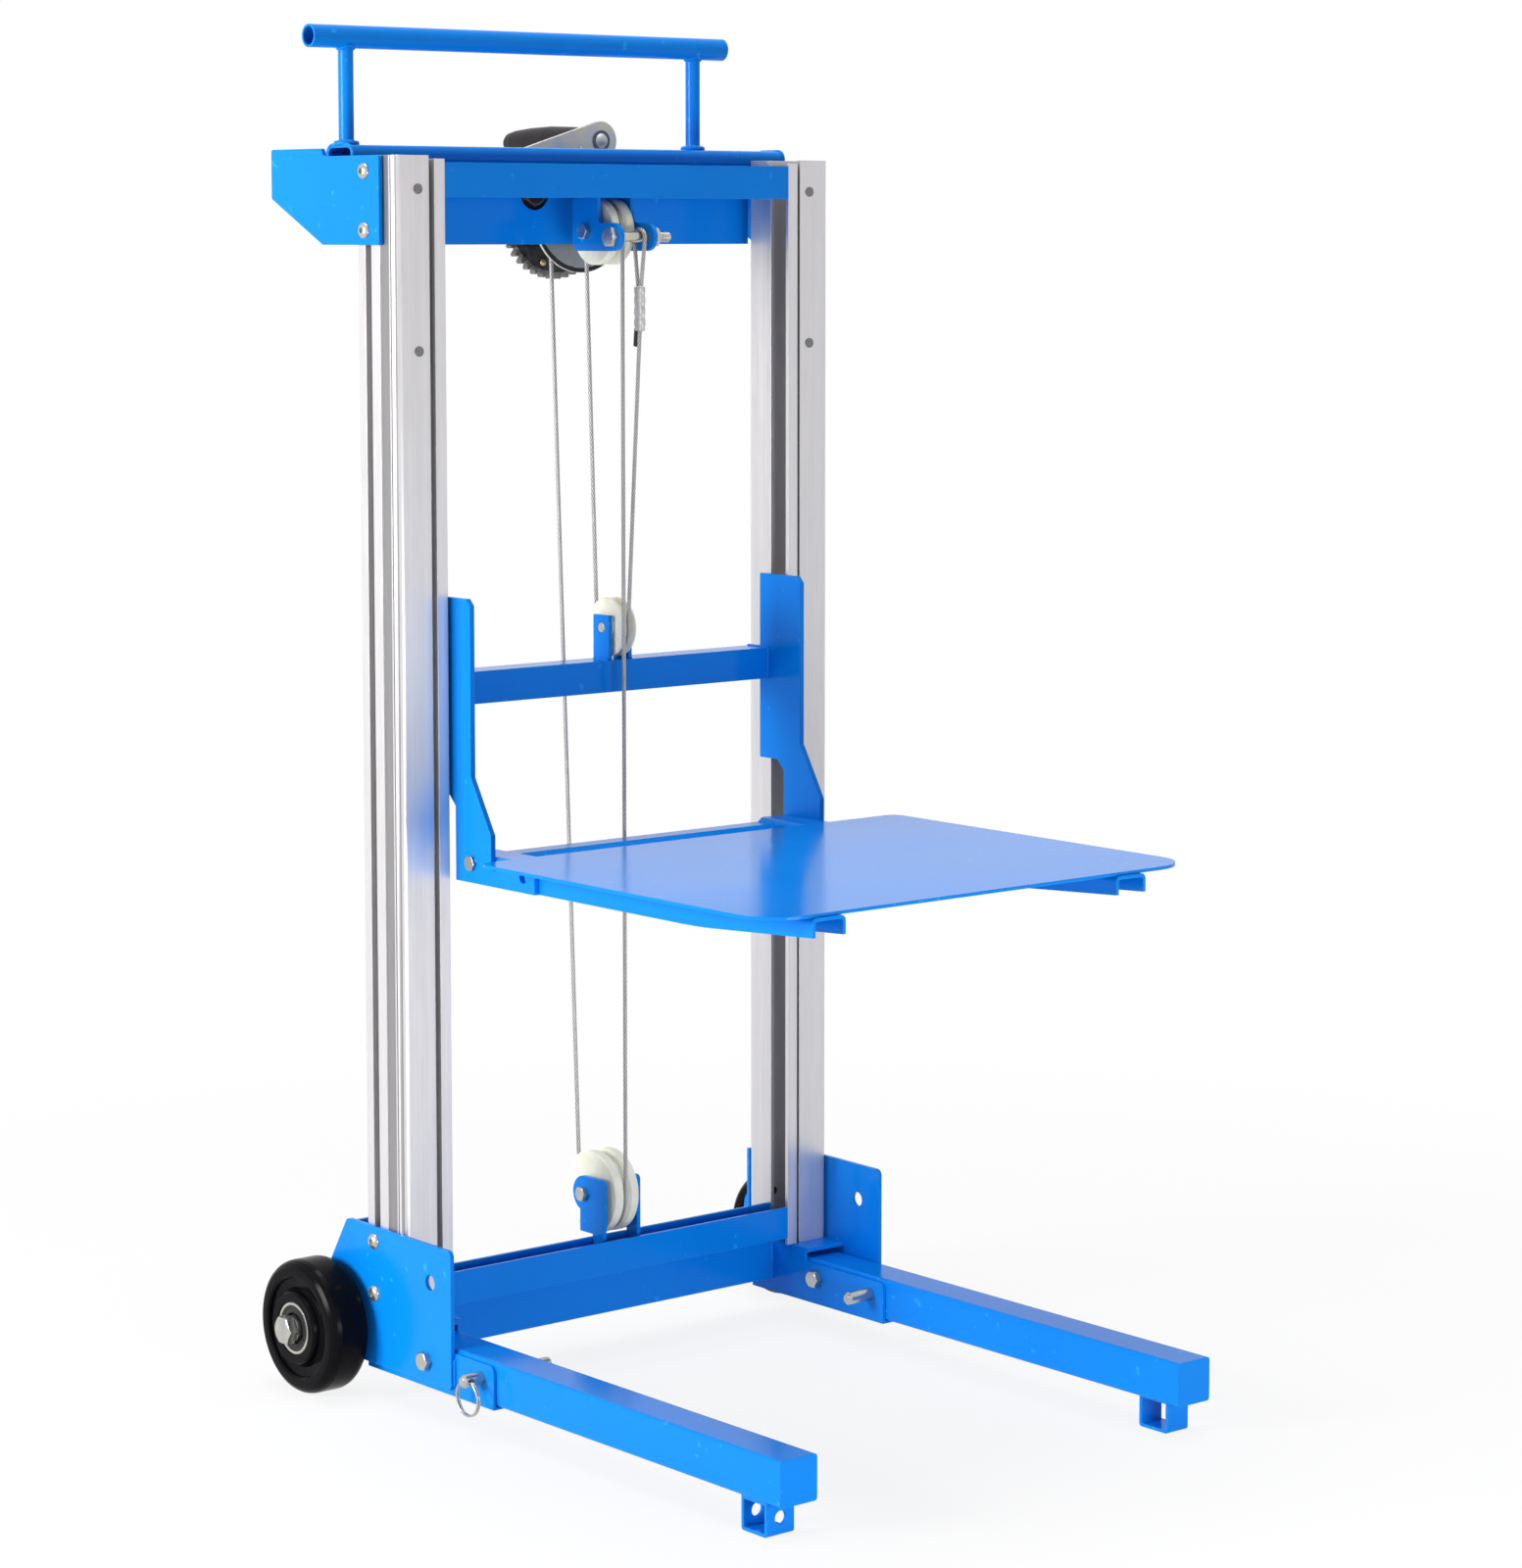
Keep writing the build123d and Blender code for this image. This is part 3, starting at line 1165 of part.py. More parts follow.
# Carriage pulley bracket, two ears on the cross tube, and its axle
ear_left = CAR_X - CAR_WIDTH / 2 - HUB_PROUD - CAR_EAR_GAP - CAR_EAR
ear_right = CAR_X + CAR_WIDTH / 2 + HUB_PROUD + CAR_EAR_GAP
ears = []
for x in (ear_left, ear_right):
    ear = box(x, x + CAR_EAR, CAR_Y - CAR_EAR_HALF, CAR_Y + CAR_EAR_HALF, CROSS_TOP, CAR_EAR_TOP)
    ears.append(ear - rod_x(CAR_AXLE + PLAY, x - CAR_EAR, x + 2 * CAR_EAR, CAR_Y, CAR_Z))
write("carriage_pulley_bracket", group(ears))
axle = rod_x(CAR_AXLE, ear_left, ear_right + CAR_EAR + AXLE_HEAD, CAR_Y, CAR_Z)
axle += hex_x(AXLE_HEAD_FLATS, ear_right + CAR_EAR, ear_right + CAR_EAR + AXLE_HEAD, CAR_Y, CAR_Z)
write("carriage_pulley_axle", axle)

# Nylon shoes that run in the channels of the inner uprights
shoes = []
for z in SHOE_Z:
    bottom = z - SHOE_HEIGHT / 2
    top = z + SHOE_HEIGHT / 2
    shoe = box(CHEEK_OUT, SHOE_BLOCK_IN, SHOE_NECK_FRONT, SHOE_NECK_BACK, bottom, top)
    shoe += box(
        SHOE_BLOCK_IN,
        SHOE_BLOCK_OUT,
        INNER_FRONT + INNER_WALL + CLEAR,
        INNER_BACK - INNER_WALL - CLEAR,
        bottom,
        top,
    )
    shoes.append(shoe)
write("slide_shoes", both_sides(group(shoes)))

# Forks: inverted channels of bent sheet, open at both ends, that taper to the tip
fork_side = make_face(
    Polyline(
        (FORK_BACK, FORK_TOP),
        (FORK_BACK, FORK_BOTTOM),
        (FORK_TAPER, FORK_BOTTOM),
        (FORK_TIP, FORK_TIP_BOTTOM),
        (FORK_TIP, FORK_TOP),
        close=True,
    )
)
taper_corner = fork_side.vertices().sort_by_distance((FORK_TAPER, FORK_BOTTOM))[0]
fork_side = fillet(taper_corner, FORK_CURVE)
fork = extrude(Plane.YZ.offset(FORK_IN) * fork_side, FORK_WIDTH, dir=(1, 0, 0))
fork = fillet(fork.edges().filter_by(Axis.Y).group_by(Axis.Z)[-1], FORK_BEND)
channel = box(
    FORK_IN + FORK_WALL,
    FORK_OUT - FORK_WALL,
    FORK_TIP - CLEAR,
    FORK_BACK + CLEAR,
    FORK_BOTTOM - CLEAR,
    FORK_TOP - FORK_WALL,
)
fork -= fillet(channel.edges().filter_by(Axis.Y).group_by(Axis.Z)[-1], FORK_BEND - FORK_WALL)
write_pair("fork", fork)

# Platform, a flat plate on the forks
outline = rect(PLATFORM_LEFT, PLATFORM_RIGHT, PLATFORM_FRONT, PLATFORM_BACK)
outline = fillet(outline.vertices().group_by(Axis.Y)[0], PLATFORM_CORNER)
outline = fillet(outline.vertices().group_by(Axis.Y)[-1], PLATFORM_BACK_CORNER)
write("platform_plate", Pos(0, 0, FORK_TOP) * extrude(outline, PLATFORM_SHEET))
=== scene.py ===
import math

import bpy
import numpy as np
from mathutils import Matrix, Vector


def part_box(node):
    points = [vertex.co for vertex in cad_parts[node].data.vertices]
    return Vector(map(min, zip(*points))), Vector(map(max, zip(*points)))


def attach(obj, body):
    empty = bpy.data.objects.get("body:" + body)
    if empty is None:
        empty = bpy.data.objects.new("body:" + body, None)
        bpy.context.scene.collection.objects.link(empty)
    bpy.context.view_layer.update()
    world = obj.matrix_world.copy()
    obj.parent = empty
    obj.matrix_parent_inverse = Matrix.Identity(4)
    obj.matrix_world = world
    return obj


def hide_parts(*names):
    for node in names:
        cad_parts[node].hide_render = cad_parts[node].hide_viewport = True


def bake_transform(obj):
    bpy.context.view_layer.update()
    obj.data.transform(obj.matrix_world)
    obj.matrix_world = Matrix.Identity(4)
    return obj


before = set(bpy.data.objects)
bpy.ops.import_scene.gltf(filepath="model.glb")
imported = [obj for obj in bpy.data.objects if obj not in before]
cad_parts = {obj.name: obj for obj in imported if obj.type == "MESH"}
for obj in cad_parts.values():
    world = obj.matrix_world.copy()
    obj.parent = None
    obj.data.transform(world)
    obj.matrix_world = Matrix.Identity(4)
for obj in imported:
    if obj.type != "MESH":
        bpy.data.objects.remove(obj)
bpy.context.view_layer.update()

bpy.context.scene.view_settings.view_transform = "Standard"

# Mast uprights, fixed and sliding
# Extruded aluminium rails, satin from a clear anodised coat, with the fine lines of the die
# running their whole length. The sliding pair nests in the channels of the fixed pair.

MM = 0.001


class Tone:
    """A socket in a finish's node tree; arithmetic on it adds Math nodes."""

    def __init__(self, tree, socket=None):
        self.tree = tree
        self.socket = socket

    def node(self, kind, settings, values, out=0):
        """Adds one shader node: its settings first, then the value or link of each socket."""
        made = self.tree.nodes.new("ShaderNode" + kind)
        for name, value in settings.items():
            setattr(made, name, value)
        for name, value in values.items():
            if isinstance(value, Tone):
                self.tree.links.new(value.socket, made.inputs[name])
            else:
                made.inputs[name].default_value = value
        return Tone(self.tree, made.outputs[out])

    def math(self, operation, first, second=0.0):
        """One Math node on one or two values."""
        return self.node("Math", {"operation": operation}, {0: first, 1: second})

    def __add__(self, other):
        return self.math("ADD", self, other)

    def __sub__(self, other):
        return self.math("SUBTRACT", self, other)

    def __rsub__(self, other):
        return self.math("SUBTRACT", other, self)

    def __mul__(self, other):
        return self.math("MULTIPLY", self, other)

    def __gt__(self, other):
        return self.math("GREATER_THAN", self, other)

    def __lt__(self, other):
        return self.math("LESS_THAN", self, other)

    def __abs__(self):
        return self.math("ABSOLUTE", self)

    __radd__ = __add__
    __rmul__ = __mul__

    def part(self, axis):
        """The X, Y or Z part of a vector."""
        return self.node("SeparateXYZ", {}, {0: self}, axis)

    def length(self):
        """Length of a vector."""
        return self.node("VectorMath", {"operation": "LENGTH"}, {0: self}, "Value")

    def mixed(self, low, high):
        """Colour between low and high, with this tone as the share of high."""
        return self.node("Mix", {"data_type": "RGBA"}, {0: self, 6: low, 7: high}, 2)

    def into(self, shader, socket):
        """Links this tone to a socket of the shader."""
        self.tree.links.new(self.socket, shader.inputs[socket])


def rgb(red, green, blue):
    """An opaque colour in linear light."""
    return (red, green, blue, 1.0)


def new_finish(name, **constants):
    """A blank finish: the material, its shader with the sockets that stay constant, its tree."""
    made = bpy.data.materials.new(name)
    made.use_nodes = True
    shader = made.node_tree.nodes["Principled BSDF"]
    for socket, value in constants.items():
        shader.inputs[socket.replace("_", " ").title().replace("Ior", "IOR")].default_value = value
    return made, shader, Tone(made.node_tree)


def own_place(tree):
    """The piece's own coordinates, in metres."""
    return tree.node("TexCoord", {}, {}, "Object")


def facing(tree):
    """Direction that the bare surface faces."""
    return tree.node("NewGeometry", {}, {}, "Normal")


def grain(tree, cells, detail=3.0):
    """Noise on the piece's own coordinates, with so many cells to the metre, the same along X, Y
    and Z or one number for each."""
    scale = cells if isinstance(cells, tuple) else (cells, cells, cells)
    scaled = tree.node("Mapping", {}, {"Vector": own_place(tree), "Scale": scale})
    return tree.node("TexNoise", {}, {"Vector": scaled, "Scale": 1.0, "Detail": detail})


def spread(tone, low=0.0, high=1.0):
    """A tone's middle range, stretched to run from low to high."""
    ends = {"From Min": 0.3, "From Max": 0.7, "To Min": low, "To Max": high}
    return tone.node("MapRange", {}, {"Value": tone, **ends})


def rounded(tree, radius):
    """Normal of the surface with its edges rounded, and a mask that is 1 on those edges: five
    times what the dot product of the rounded and the bare normal lacks of 1."""
    soft = tree.node("Bevel", {"samples": 4}, {"Radius": radius})
    both = {0: soft, 1: facing(tree)}
    alike = tree.node("VectorMath", {"operation": "DOT_PRODUCT"}, both, "Value")
    edge = tree.node("Math", {"operation": "MULTIPLY", "use_clamp": True}, {0: 1 - alike, 1: 5.0})
    return soft, edge


def embossed(tree, height, depth, normal=None):
    """Normal of a surface raised by height times depth, in metres."""
    values = {"Strength": 1.0, "Distance": depth, "Height": height}
    if normal is not None:
        values["Normal"] = normal
    return tree.node("Bump", {}, values)


def dress(finish, *names):
    """Gives CAD nodes a finish in their material slots."""
    for name in names:
        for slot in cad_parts[name].material_slots:
            slot.material = finish


SHADE_GAP_REACH = 14.0 * MM
GAP_SHADE_BLACK = rgb(0.02, 0.02, 0.02)
SIDE_SHADE_GREY = rgb(0.06, 0.06, 0.065)
ALUMINIUM_EDGE_HIGHLIGHT = rgb(0.86, 0.86, 0.87)


def satin_aluminium(name, cells, light, dark, shade_band=None):
    """Anodised aluminium: lines along one direction, a faint cloud, a painted highlight on the
    edges, and painted shade that darkens the narrow gaps of the tracks. Flat sides facing along
    X, between the two given distances from the middle of the lift, are painted a darker grey, a
    painted shade."""
    made, shader, tree = new_finish(name, metallic=0.70, specular_ior_level=0.2)
    lines = grain(tree, cells, 1.5)
    cloud = grain(tree, (14.0, 14.0, 2.5))
    marks = grain(tree, (240.0, 240.0, 18.0), 2.0)
    normal, edge = rounded(tree, 0.8 * MM)
    tone = spread(lines * 0.45 + cloud * 0.3 + marks * 0.25).mixed(dark, light)
    # painted shade: the narrow gaps of the tracks, found by ambient occlusion, are darkened to near
    # black
    shut_in = tree.node("AmbientOcclusion", {"samples": 8}, {"Distance": SHADE_GAP_REACH}, "AO")
    ends = {"From Min": 0.08, "From Max": 0.42, "To Min": 0.85, "To Max": 0.0}
    tone = tree.node("MapRange", {}, {"Value": shut_in, **ends}).mixed(tone, GAP_SHADE_BLACK)
    # painted shade: faces that look along X on the fixed uprights' outer sides are painted a darker
    # grey
    if shade_band:
        away = abs(own_place(tree).part("X"))
        flat = abs(facing(tree).part("X")) > 0.7
        side_shade = (away > shade_band[0]) * (away < shade_band[1]) * flat
        tone = (side_shade * 0.62).mixed(tone, SIDE_SHADE_GREY)
    # painted highlight: edges are mixed towards a paler aluminium
    (edge * 0.5).mixed(tone, ALUMINIUM_EDGE_HIGHLIGHT).into(shader, "Base Color")
    (spread(lines * 0.6 + marks * 0.4, 0.30, 0.40) - edge * 0.06).into(shader, "Roughness")
    embossed(tree, lines, 0.004 * MM, normal).into(shader, "Normal")
    return made


DIE_LINES = (900.0, 900.0, 0.3)
# band of the fixed uprights' outer sides that gets the painted shade
SIDE_BAND = (252.5 * MM, 254.2 * MM)
RAIL_LIGHT = rgb(0.69, 0.675, 0.685)
RAIL_DARK = rgb(0.575, 0.56, 0.57)
rail_finish = satin_aluminium("satin_aluminium", DIE_LINES, RAIL_LIGHT, RAIL_DARK, SIDE_BAND)
dress(rail_finish, "mast_upright_left", "mast_upright_right")
dress(rail_finish, "inner_upright_left", "inner_upright_right")

# Slide pads
# Natural nylon strips inside the fixed uprights, held by aluminium rivets whose flat heads
# show on the front flanges.

NYLON_DEEP = rgb(0.82, 0.80, 0.61)
NYLON_PALE = rgb(0.92, 0.91, 0.76)
NYLON_EDGE_HIGHLIGHT = rgb(0.93, 0.93, 0.84)
LATHE_RINGS = 7000.0


def from_axis(tree, centre, across):
    """Distance from an axis through centre; across is 1 along the directions that count for it
    and 0 along the others."""
    offset = tuple(-c * a for c, a in zip(centre, across))
    values = {"Vector": own_place(tree), "Location": offset, "Scale": across}
    return tree.node("Mapping", {}, values).length()


def ivory_nylon(name, centre, across):
    """Cast nylon with the rings of the lathe, the sine of the distance from an axis. Gives the
    material, its shader, its tree and its colour."""
    made, shader, tree = new_finish(
        name,
        subsurface_weight=0.12,
        subsurface_scale=2.0 * MM,
        subsurface_radius=(1.0, 0.8, 0.5),
        specular_ior_level=0.35,
    )
    rings = tree.math("SINE", from_axis(tree, centre, across) * LATHE_RINGS)
    cloud = grain(tree, 60.0)
    specks = grain(tree, 900.0)
    normal, edge = rounded(tree, 0.8 * MM)
    # painted highlight: paler edges
    shade = (edge * 0.5).mixed(spread(cloud).mixed(NYLON_DEEP, NYLON_PALE), NYLON_EDGE_HIGHLIGHT)
    shade.into(shader, "Base Color")
    (0.42 + spread(specks, -0.05, 0.05)).into(shader, "Roughness")
    embossed(tree, rings * 0.5 + specks, 0.03 * MM, normal).into(shader, "Normal")
    return made, shader, tree, shade


PAD_FRONT = 88.5 * MM
RIVET_DARK = rgb(0.11, 0.11, 0.105)
RIVET_PALE = rgb(0.26, 0.26, 0.25)
pad_finish, pad_shader, pad_tree, pad_shade = ivory_nylon("pad_nylon", (0, 0, 0), (0.0, 0.0, 1.0))
rivet_mask = own_place(pad_tree).part("Y") < PAD_FRONT
rivet_tone = spread(grain(pad_tree, 700.0)).mixed(RIVET_DARK, RIVET_PALE)
rivet_mask.mixed(pad_shade, rivet_tone).into(pad_shader, "Base Color")
(rivet_mask * 0.6).into(pad_shader, "Metallic")
dress(pad_finish, "slide_pads")

# Inner mast: top bar, bottom channel and the brackets of its two pulleys
# Bent and welded sheet steel under a glossy blue powder coat, smooth but for the faint orange
# peel of the baked powder, paler on small chips where the coat is thin, and paler on edges as a
# painted highlight.


def toned(colour, factor):
    """A colour with its three parts times a factor."""
    return rgb(*(factor * part for part in colour[:3]))


def powder_coat(name, colour, pale, level):
    """Baked powder: a slow tone change, fine specks, orange peel, paler chips and a painted
    highlight on the edges.
    """
    made, shader, tree = new_finish(name, specular_ior_level=level)
    cloud = grain(tree, 7.0)
    specks = grain(tree, 1600.0, 1.0)
    peel = grain(tree, 260.0, 1.0)
    chips = grain(tree, 130.0, 0.5) > 0.775
    normal, edge = rounded(tree, 1.4 * MM)
    tone = spread(cloud * 0.75 + specks * 0.25).mixed(toned(colour, 0.90), colour)
    # painted highlight on the edges; the chips are paler where the coat is thin
    tree.math("MAXIMUM", edge * 0.45, chips * 0.5).mixed(tone, pale).into(shader, "Base Color")
    (0.15 + spread(peel * 0.4 + cloud * 0.6, -0.03, 0.05)).into(shader, "Roughness")
    embossed(tree, peel, 0.014 * MM, normal).into(shader, "Normal")
    return made


BLUE = rgb(0.002, 0.230, 0.80)
BLUE_HIGHLIGHT_AND_CHIP = rgb(0.03, 0.40, 0.95)
blue_coat = powder_coat("blue_powder_coat", BLUE, BLUE_HIGHLIGHT_AND_CHIP, 0.10)
dress(blue_coat, "mast_top_bar", "mast_bottom_channel")
dress(blue_coat, "top_pulley_bracket", "lower_pulley_bracket")

# Rope pulleys of the inner mast and of the carriage
# Turned from natural nylon, with a groove for the rope and a hub proud of each face.


def middle(node):
    """Middle of a CAD node's box, in metres."""
    low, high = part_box(node)
    return np.array([(a + b) / 2 for a, b in zip(low, high)])


for pulley in ("top_pulley", "lower_pulley", "carriage_pulley"):
    dress(ivory_nylon(pulley + "_nylon", middle(pulley), (0.0, 1.0, 1.0))[0], pulley)

# Wire rope
# Six strands of galvanised wire laid round a core, 4 mm over all. It leaves the drum, turns
# under the lower pulley, over the top pulley and under the carriage pulley, and ends in an eye.

ROPE_RADIUS = 2.0 * MM
ROPE_LAY = 26.0 * MM
ROPE_STEP = 1.5 * MM
ROPE_CREASE = 80.0
STRANDS = 6
STRAND_POINTS = 5
TOP_ROPE = 28.0 * MM
LOW_ROPE = 36.0 * MM
CARRIAGE_ROPE = 24.0 * MM
X_WAY = (1.0, 0.0, 0.0)
Y_WAY = (0.0, 1.0, 0.0)
Z_WAY = (0.0, 0.0, 1.0)


def round_angles(count):
    """So many equal angles of a full turn, from 0."""
    return np.linspace(0, 2 * math.pi, count, endpoint=False)


def run(start, end, step=ROPE_STEP):
    """Points on a straight line from start to end."""
    start = np.array(start, float)
    end = np.array(end, float)
    share = np.linspace(0, 1, max(2, int(np.linalg.norm(end - start) / step) + 1))
    return start + share[:, None] * (end - start)


def bend(centre, radius, first, last, step=ROPE_STEP):
    """Points on an arc about the X axis through centre; the angle starts at +Y, towards +Z."""
    count = max(3, int(abs(last - first) * radius / step) + 1)
    angle = np.linspace(first, last, count)
    arc = np.stack([0 * angle, np.cos(angle), np.sin(angle)], 1)
    return np.array(centre) + radius * arc


def joined(*stretches):
    """One path of several stretches, each without its first point after the first stretch."""
    return np.concatenate([stretches[0]] + [s[1:] for s in stretches[1:]])


def travelled(path):
    """Length along a path at each of its points."""
    steps = np.linalg.norm(np.diff(path, axis=0), axis=1)
    return np.concatenate([[0.0], np.cumsum(steps)])


def carried(path, across, away, side, ring=False):
    """A section carried along a path: across and away are its coordinates, one row to a point
    or one row for all, measured along the direction nearest to side and square to it."""
    along = np.roll(path, -1, 0) - np.roll(path, 1, 0) if ring else np.gradient(path, axis=0)
    along = along / np.linalg.norm(along, axis=1)[:, None]
    first = np.array(side, float) - along * (along @ np.array(side, float))[:, None]
    first /= np.linalg.norm(first, axis=1)[:, None]
    second = np.cross(along, first)
    return (
        path[:, None, :]
        + np.asarray(across)[..., None] * first[:, None, :]
        + np.asarray(away)[..., None] * second[:, None, :]
    )


def shell(points, ring=False):
    """Quads of a grid of points whose rows close on themselves, with a face over each end row,
    or with the last row joined to the first where the grid is a ring."""
    rows, columns = points.shape[:2]
    here = np.arange(rows * columns).reshape(rows, columns)
    beside = np.roll(here, -1, 1)
    if ring:
        above, above_beside = np.roll(here, -1, 0), np.roll(beside, -1, 0)
        faces = np.stack([here, beside, above_beside, above], -1).reshape(-1, 4).tolist()
    else:
        quads = np.stack([here[:-1], beside[:-1], beside[1:], here[1:]], -1)
        faces = quads.reshape(-1, 4).tolist() + [here[0, ::-1].tolist(), here[-1].tolist()]
    return points.reshape(-1, 3), faces


def piece(name, shells, finish, body=None, crease=35.0):
    """One mesh object of several shells, smooth but for edges sharper than crease degrees."""
    starts = np.cumsum([0] + [len(points) for points, faces in shells])
    corners = [
        [corner + int(start) for corner in face]
        for start, (points, faces) in zip(starts, shells)
        for face in faces
    ]
    mesh = bpy.data.meshes.new(name)
    mesh.from_pydata(np.concatenate([points for points, faces in shells]), [], corners)
    mesh.polygons.foreach_set("use_smooth", [True] * len(mesh.polygons))
    mesh.set_sharp_from_angle(angle=math.radians(crease))
    mesh.materials.append(finish)
    made = bpy.data.objects.new(name, mesh)
    bpy.context.scene.collection.objects.link(made)
    if body:
        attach(made, body)
    return made


def laid_rope(path, side):
    """Rope along a path. The section is six round strands that touch, 3r over all for strands
    of radius r: its polar radius is 2r cos a + r sqrt(1 - 4 sin^2 a), a from a strand's middle,
    and it turns once in each lay. Gives the shell and each point's height over the hollows."""
    strand = ROPE_RADIUS / 3
    share = np.arange(STRANDS * STRAND_POINTS) / STRAND_POINTS
    inside = (share % 1 - 0.5) * 2 * math.pi / STRANDS
    polar = 2 * strand * np.cos(inside)
    polar += strand * np.sqrt(np.clip(1 - 4 * np.sin(inside) ** 2, 0, 1))
    turn = 2 * math.pi * travelled(path) / ROPE_LAY
    angle = share * 2 * math.pi / STRANDS + turn[:, None]
    crown = np.tile((polar - polar.min()) / (polar.max() - polar.min()), len(path))
    return shell(carried(path, polar * np.cos(angle), polar * np.sin(angle), side)), crown


rope_finish, rope_shader, rope_tree = new_finish("galvanised_rope", metallic=0.7)
rope_crown = rope_tree.node("Attribute", {"attribute_name": "crown"}, {}, "Fac")
rope_wires = grain(rope_tree, (1500.0, 1500.0, 500.0))
rope_height = rope_tree.math("POWER", rope_crown, 2.2)
# painted shade: darker in the hollows between the strands, paler on their crowns
rope_tone = rope_height.mixed(rgb(0.045, 0.042, 0.04), rgb(0.62, 0.61, 0.59))
rope_shade = spread(rope_wires, 0.0, 0.3).mixed(rope_tone, rgb(0.28, 0.27, 0.27))
rope_shade.into(rope_shader, "Base Color")
(0.62 - rope_crown * 0.24).into(rope_shader, "Roughness")
embossed(rope_tree, rope_wires, 0.1 * MM).into(rope_shader, "Normal")


def rope_piece(node, ropes, body=None):
    """Laid rope for a CAD node, with each strand's height kept as an attribute for the painted
    shade in the hollows between strands.
    """
    shells = [rope for rope, crown in ropes]
    made = piece(node + "_laid", shells, rope_finish, body, ROPE_CREASE)
    height = made.data.attributes.new("crown", "FLOAT", "POINT")
    height.data.foreach_set("value", np.concatenate([crown for rope, crown in ropes]))
    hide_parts(node)
    return made


top_centre = middle("top_pulley")
low_centre = middle("lower_pulley")
carriage_centre = middle("carriage_pulley")
low_back = low_centre + (0, LOW_ROPE, 0)
top_back = top_centre + (0, TOP_ROPE, 0)
carriage_back = carriage_centre + (0, CARRIAGE_ROPE, 0)
carriage_front = carriage_centre - (0, CARRIAGE_ROPE, 0)
ferrule_low, ferrule_high = (np.array(corner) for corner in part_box("rope_ferrule"))
ferrule_middle = (ferrule_low + ferrule_high) / 2

mast_route = joined(
    bend(low_centre, LOW_ROPE, 0, -math.pi),
    run(low_centre - (0, LOW_ROPE, 0), top_centre - (0, TOP_ROPE, 0)),
    bend(top_centre, TOP_ROPE, math.pi, 0),
)
EYE_LOOP = 8.0 * MM
EYE_SIDE = 2.3 * MM
EYE_PLAY = 0.05 * MM
EYE_LIFT = 0.6 * MM
EYE_BOLT_Z = 1067.0 * MM
EYE_BOLT_RADIUS = 5.0 * MM
eye_crown = EYE_BOLT_Z + EYE_BOLT_RADIUS + ROPE_RADIUS + EYE_PLAY - EYE_LOOP
eye_foot = float(ferrule_high[2]) + EYE_LIFT
eye_centre = np.array([ferrule_middle[0], ferrule_middle[1], eye_crown])
eye_drop = eye_crown - eye_foot
eye_turn = math.acos(EYE_LOOP / math.hypot(EYE_SIDE, eye_drop)) + math.atan2(EYE_SIDE, eye_drop)
eye_dip = math.pi / 2 - eye_turn
eye_arc = bend(eye_centre, EYE_LOOP, math.pi + eye_dip, -eye_dip)
eye_route = joined(
    run((eye_centre[0], eye_centre[1] - EYE_SIDE, eye_foot), eye_arc[0]),
    eye_arc,
    run(eye_arc[-1], (eye_centre[0], eye_centre[1] + EYE_SIDE, eye_foot)),
)
mast_ropes = [laid_rope(route, X_WAY) for route in (mast_route, eye_route)]
rope_piece("rope_mast_loop", mast_ropes, "inner_mast")
wrap_route = bend(carriage_centre, CARRIAGE_ROPE, 0, -math.pi)
rope_piece("rope_carriage_wrap", [laid_rope(wrap_route, X_WAY)], "carriage")

WIND_RADIUS = 32.0 * MM
WIND_LOOPS = 6
WIND_PITCH = 4.7 * MM
LOOP_POINTS = 130
wind_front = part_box("rope_winding")[0][1] + ROPE_RADIUS
drum_axis = middle("rope_winding")
wind_turn = np.linspace(0, WIND_LOOPS * 2 * math.pi, WIND_LOOPS * LOOP_POINTS)
wind_route = np.stack(
    [
        drum_axis[0] - WIND_RADIUS * np.cos(wind_turn),
        wind_front + WIND_PITCH * wind_turn / (2 * math.pi),
        drum_axis[2] + WIND_RADIUS * np.sin(wind_turn),
    ],
    1,
)
rope_piece("rope_winding", [laid_rope(wind_route, Y_WAY)], "drum")

ferrule_foot = np.array([ferrule_middle[0], ferrule_middle[1], ferrule_low[2]])
drum_run = rope_piece("rope_drum_run", [laid_rope(run(low_back, wind_route[0]), X_WAY)])
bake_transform(drum_run)
rear_fall = rope_piece("rope_rear_fall", [laid_rope(run(top_back, carriage_back), X_WAY)])
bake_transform(rear_fall)
front_fall = rope_piece("rope_front_fall", [laid_rope(run(ferrule_foot, carriage_front), X_WAY)])
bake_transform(front_fall)

# Ferrule and the rope's tail
# A figure of eight aluminium sleeve, pressed in bands round both legs of the eye, and the cut
# end of the rope under a black heat-shrink cap.

FERRULE_WIDE = 13.0 * MM
FERRULE_THICK = 8.0 * MM
PRESS_BANDS = 4
PRESS_DEPTH = 0.09
LIP_DEPTH = 0.10
LIP_SHARE = 0.04
WAIST_DEPTH = 0.20
PRESS_MARKS = (300.0, 300.0, 90.0)
sleeve_rise = np.linspace(0, 1, 81)
sleeve_angle = round_angles(64)
sleeve_wave = np.clip(np.sin(sleeve_rise * PRESS_BANDS * 2 * math.pi), 0, 1)
sleeve_end = np.clip(1 - np.minimum(sleeve_rise, 1 - sleeve_rise) / LIP_SHARE, 0, 1)
sleeve_press = 1 - PRESS_DEPTH * sleeve_wave**0.5
sleeve_scale = (sleeve_press * (1 - LIP_DEPTH * sleeve_end**2))[:, None]
sleeve_waist = 1 - WAIST_DEPTH * np.abs(np.sin(sleeve_angle)) ** 6
sleeve_across = -FERRULE_THICK / 2 * np.sin(sleeve_angle) * sleeve_waist
sleeve_cosine = np.cos(sleeve_angle)
sleeve_away = FERRULE_WIDE / 2 * np.sign(sleeve_cosine) * np.abs(sleeve_cosine) ** 0.8
sleeve_path = ferrule_foot + (ferrule_high - ferrule_low) * Z_WAY * sleeve_rise[:, None]
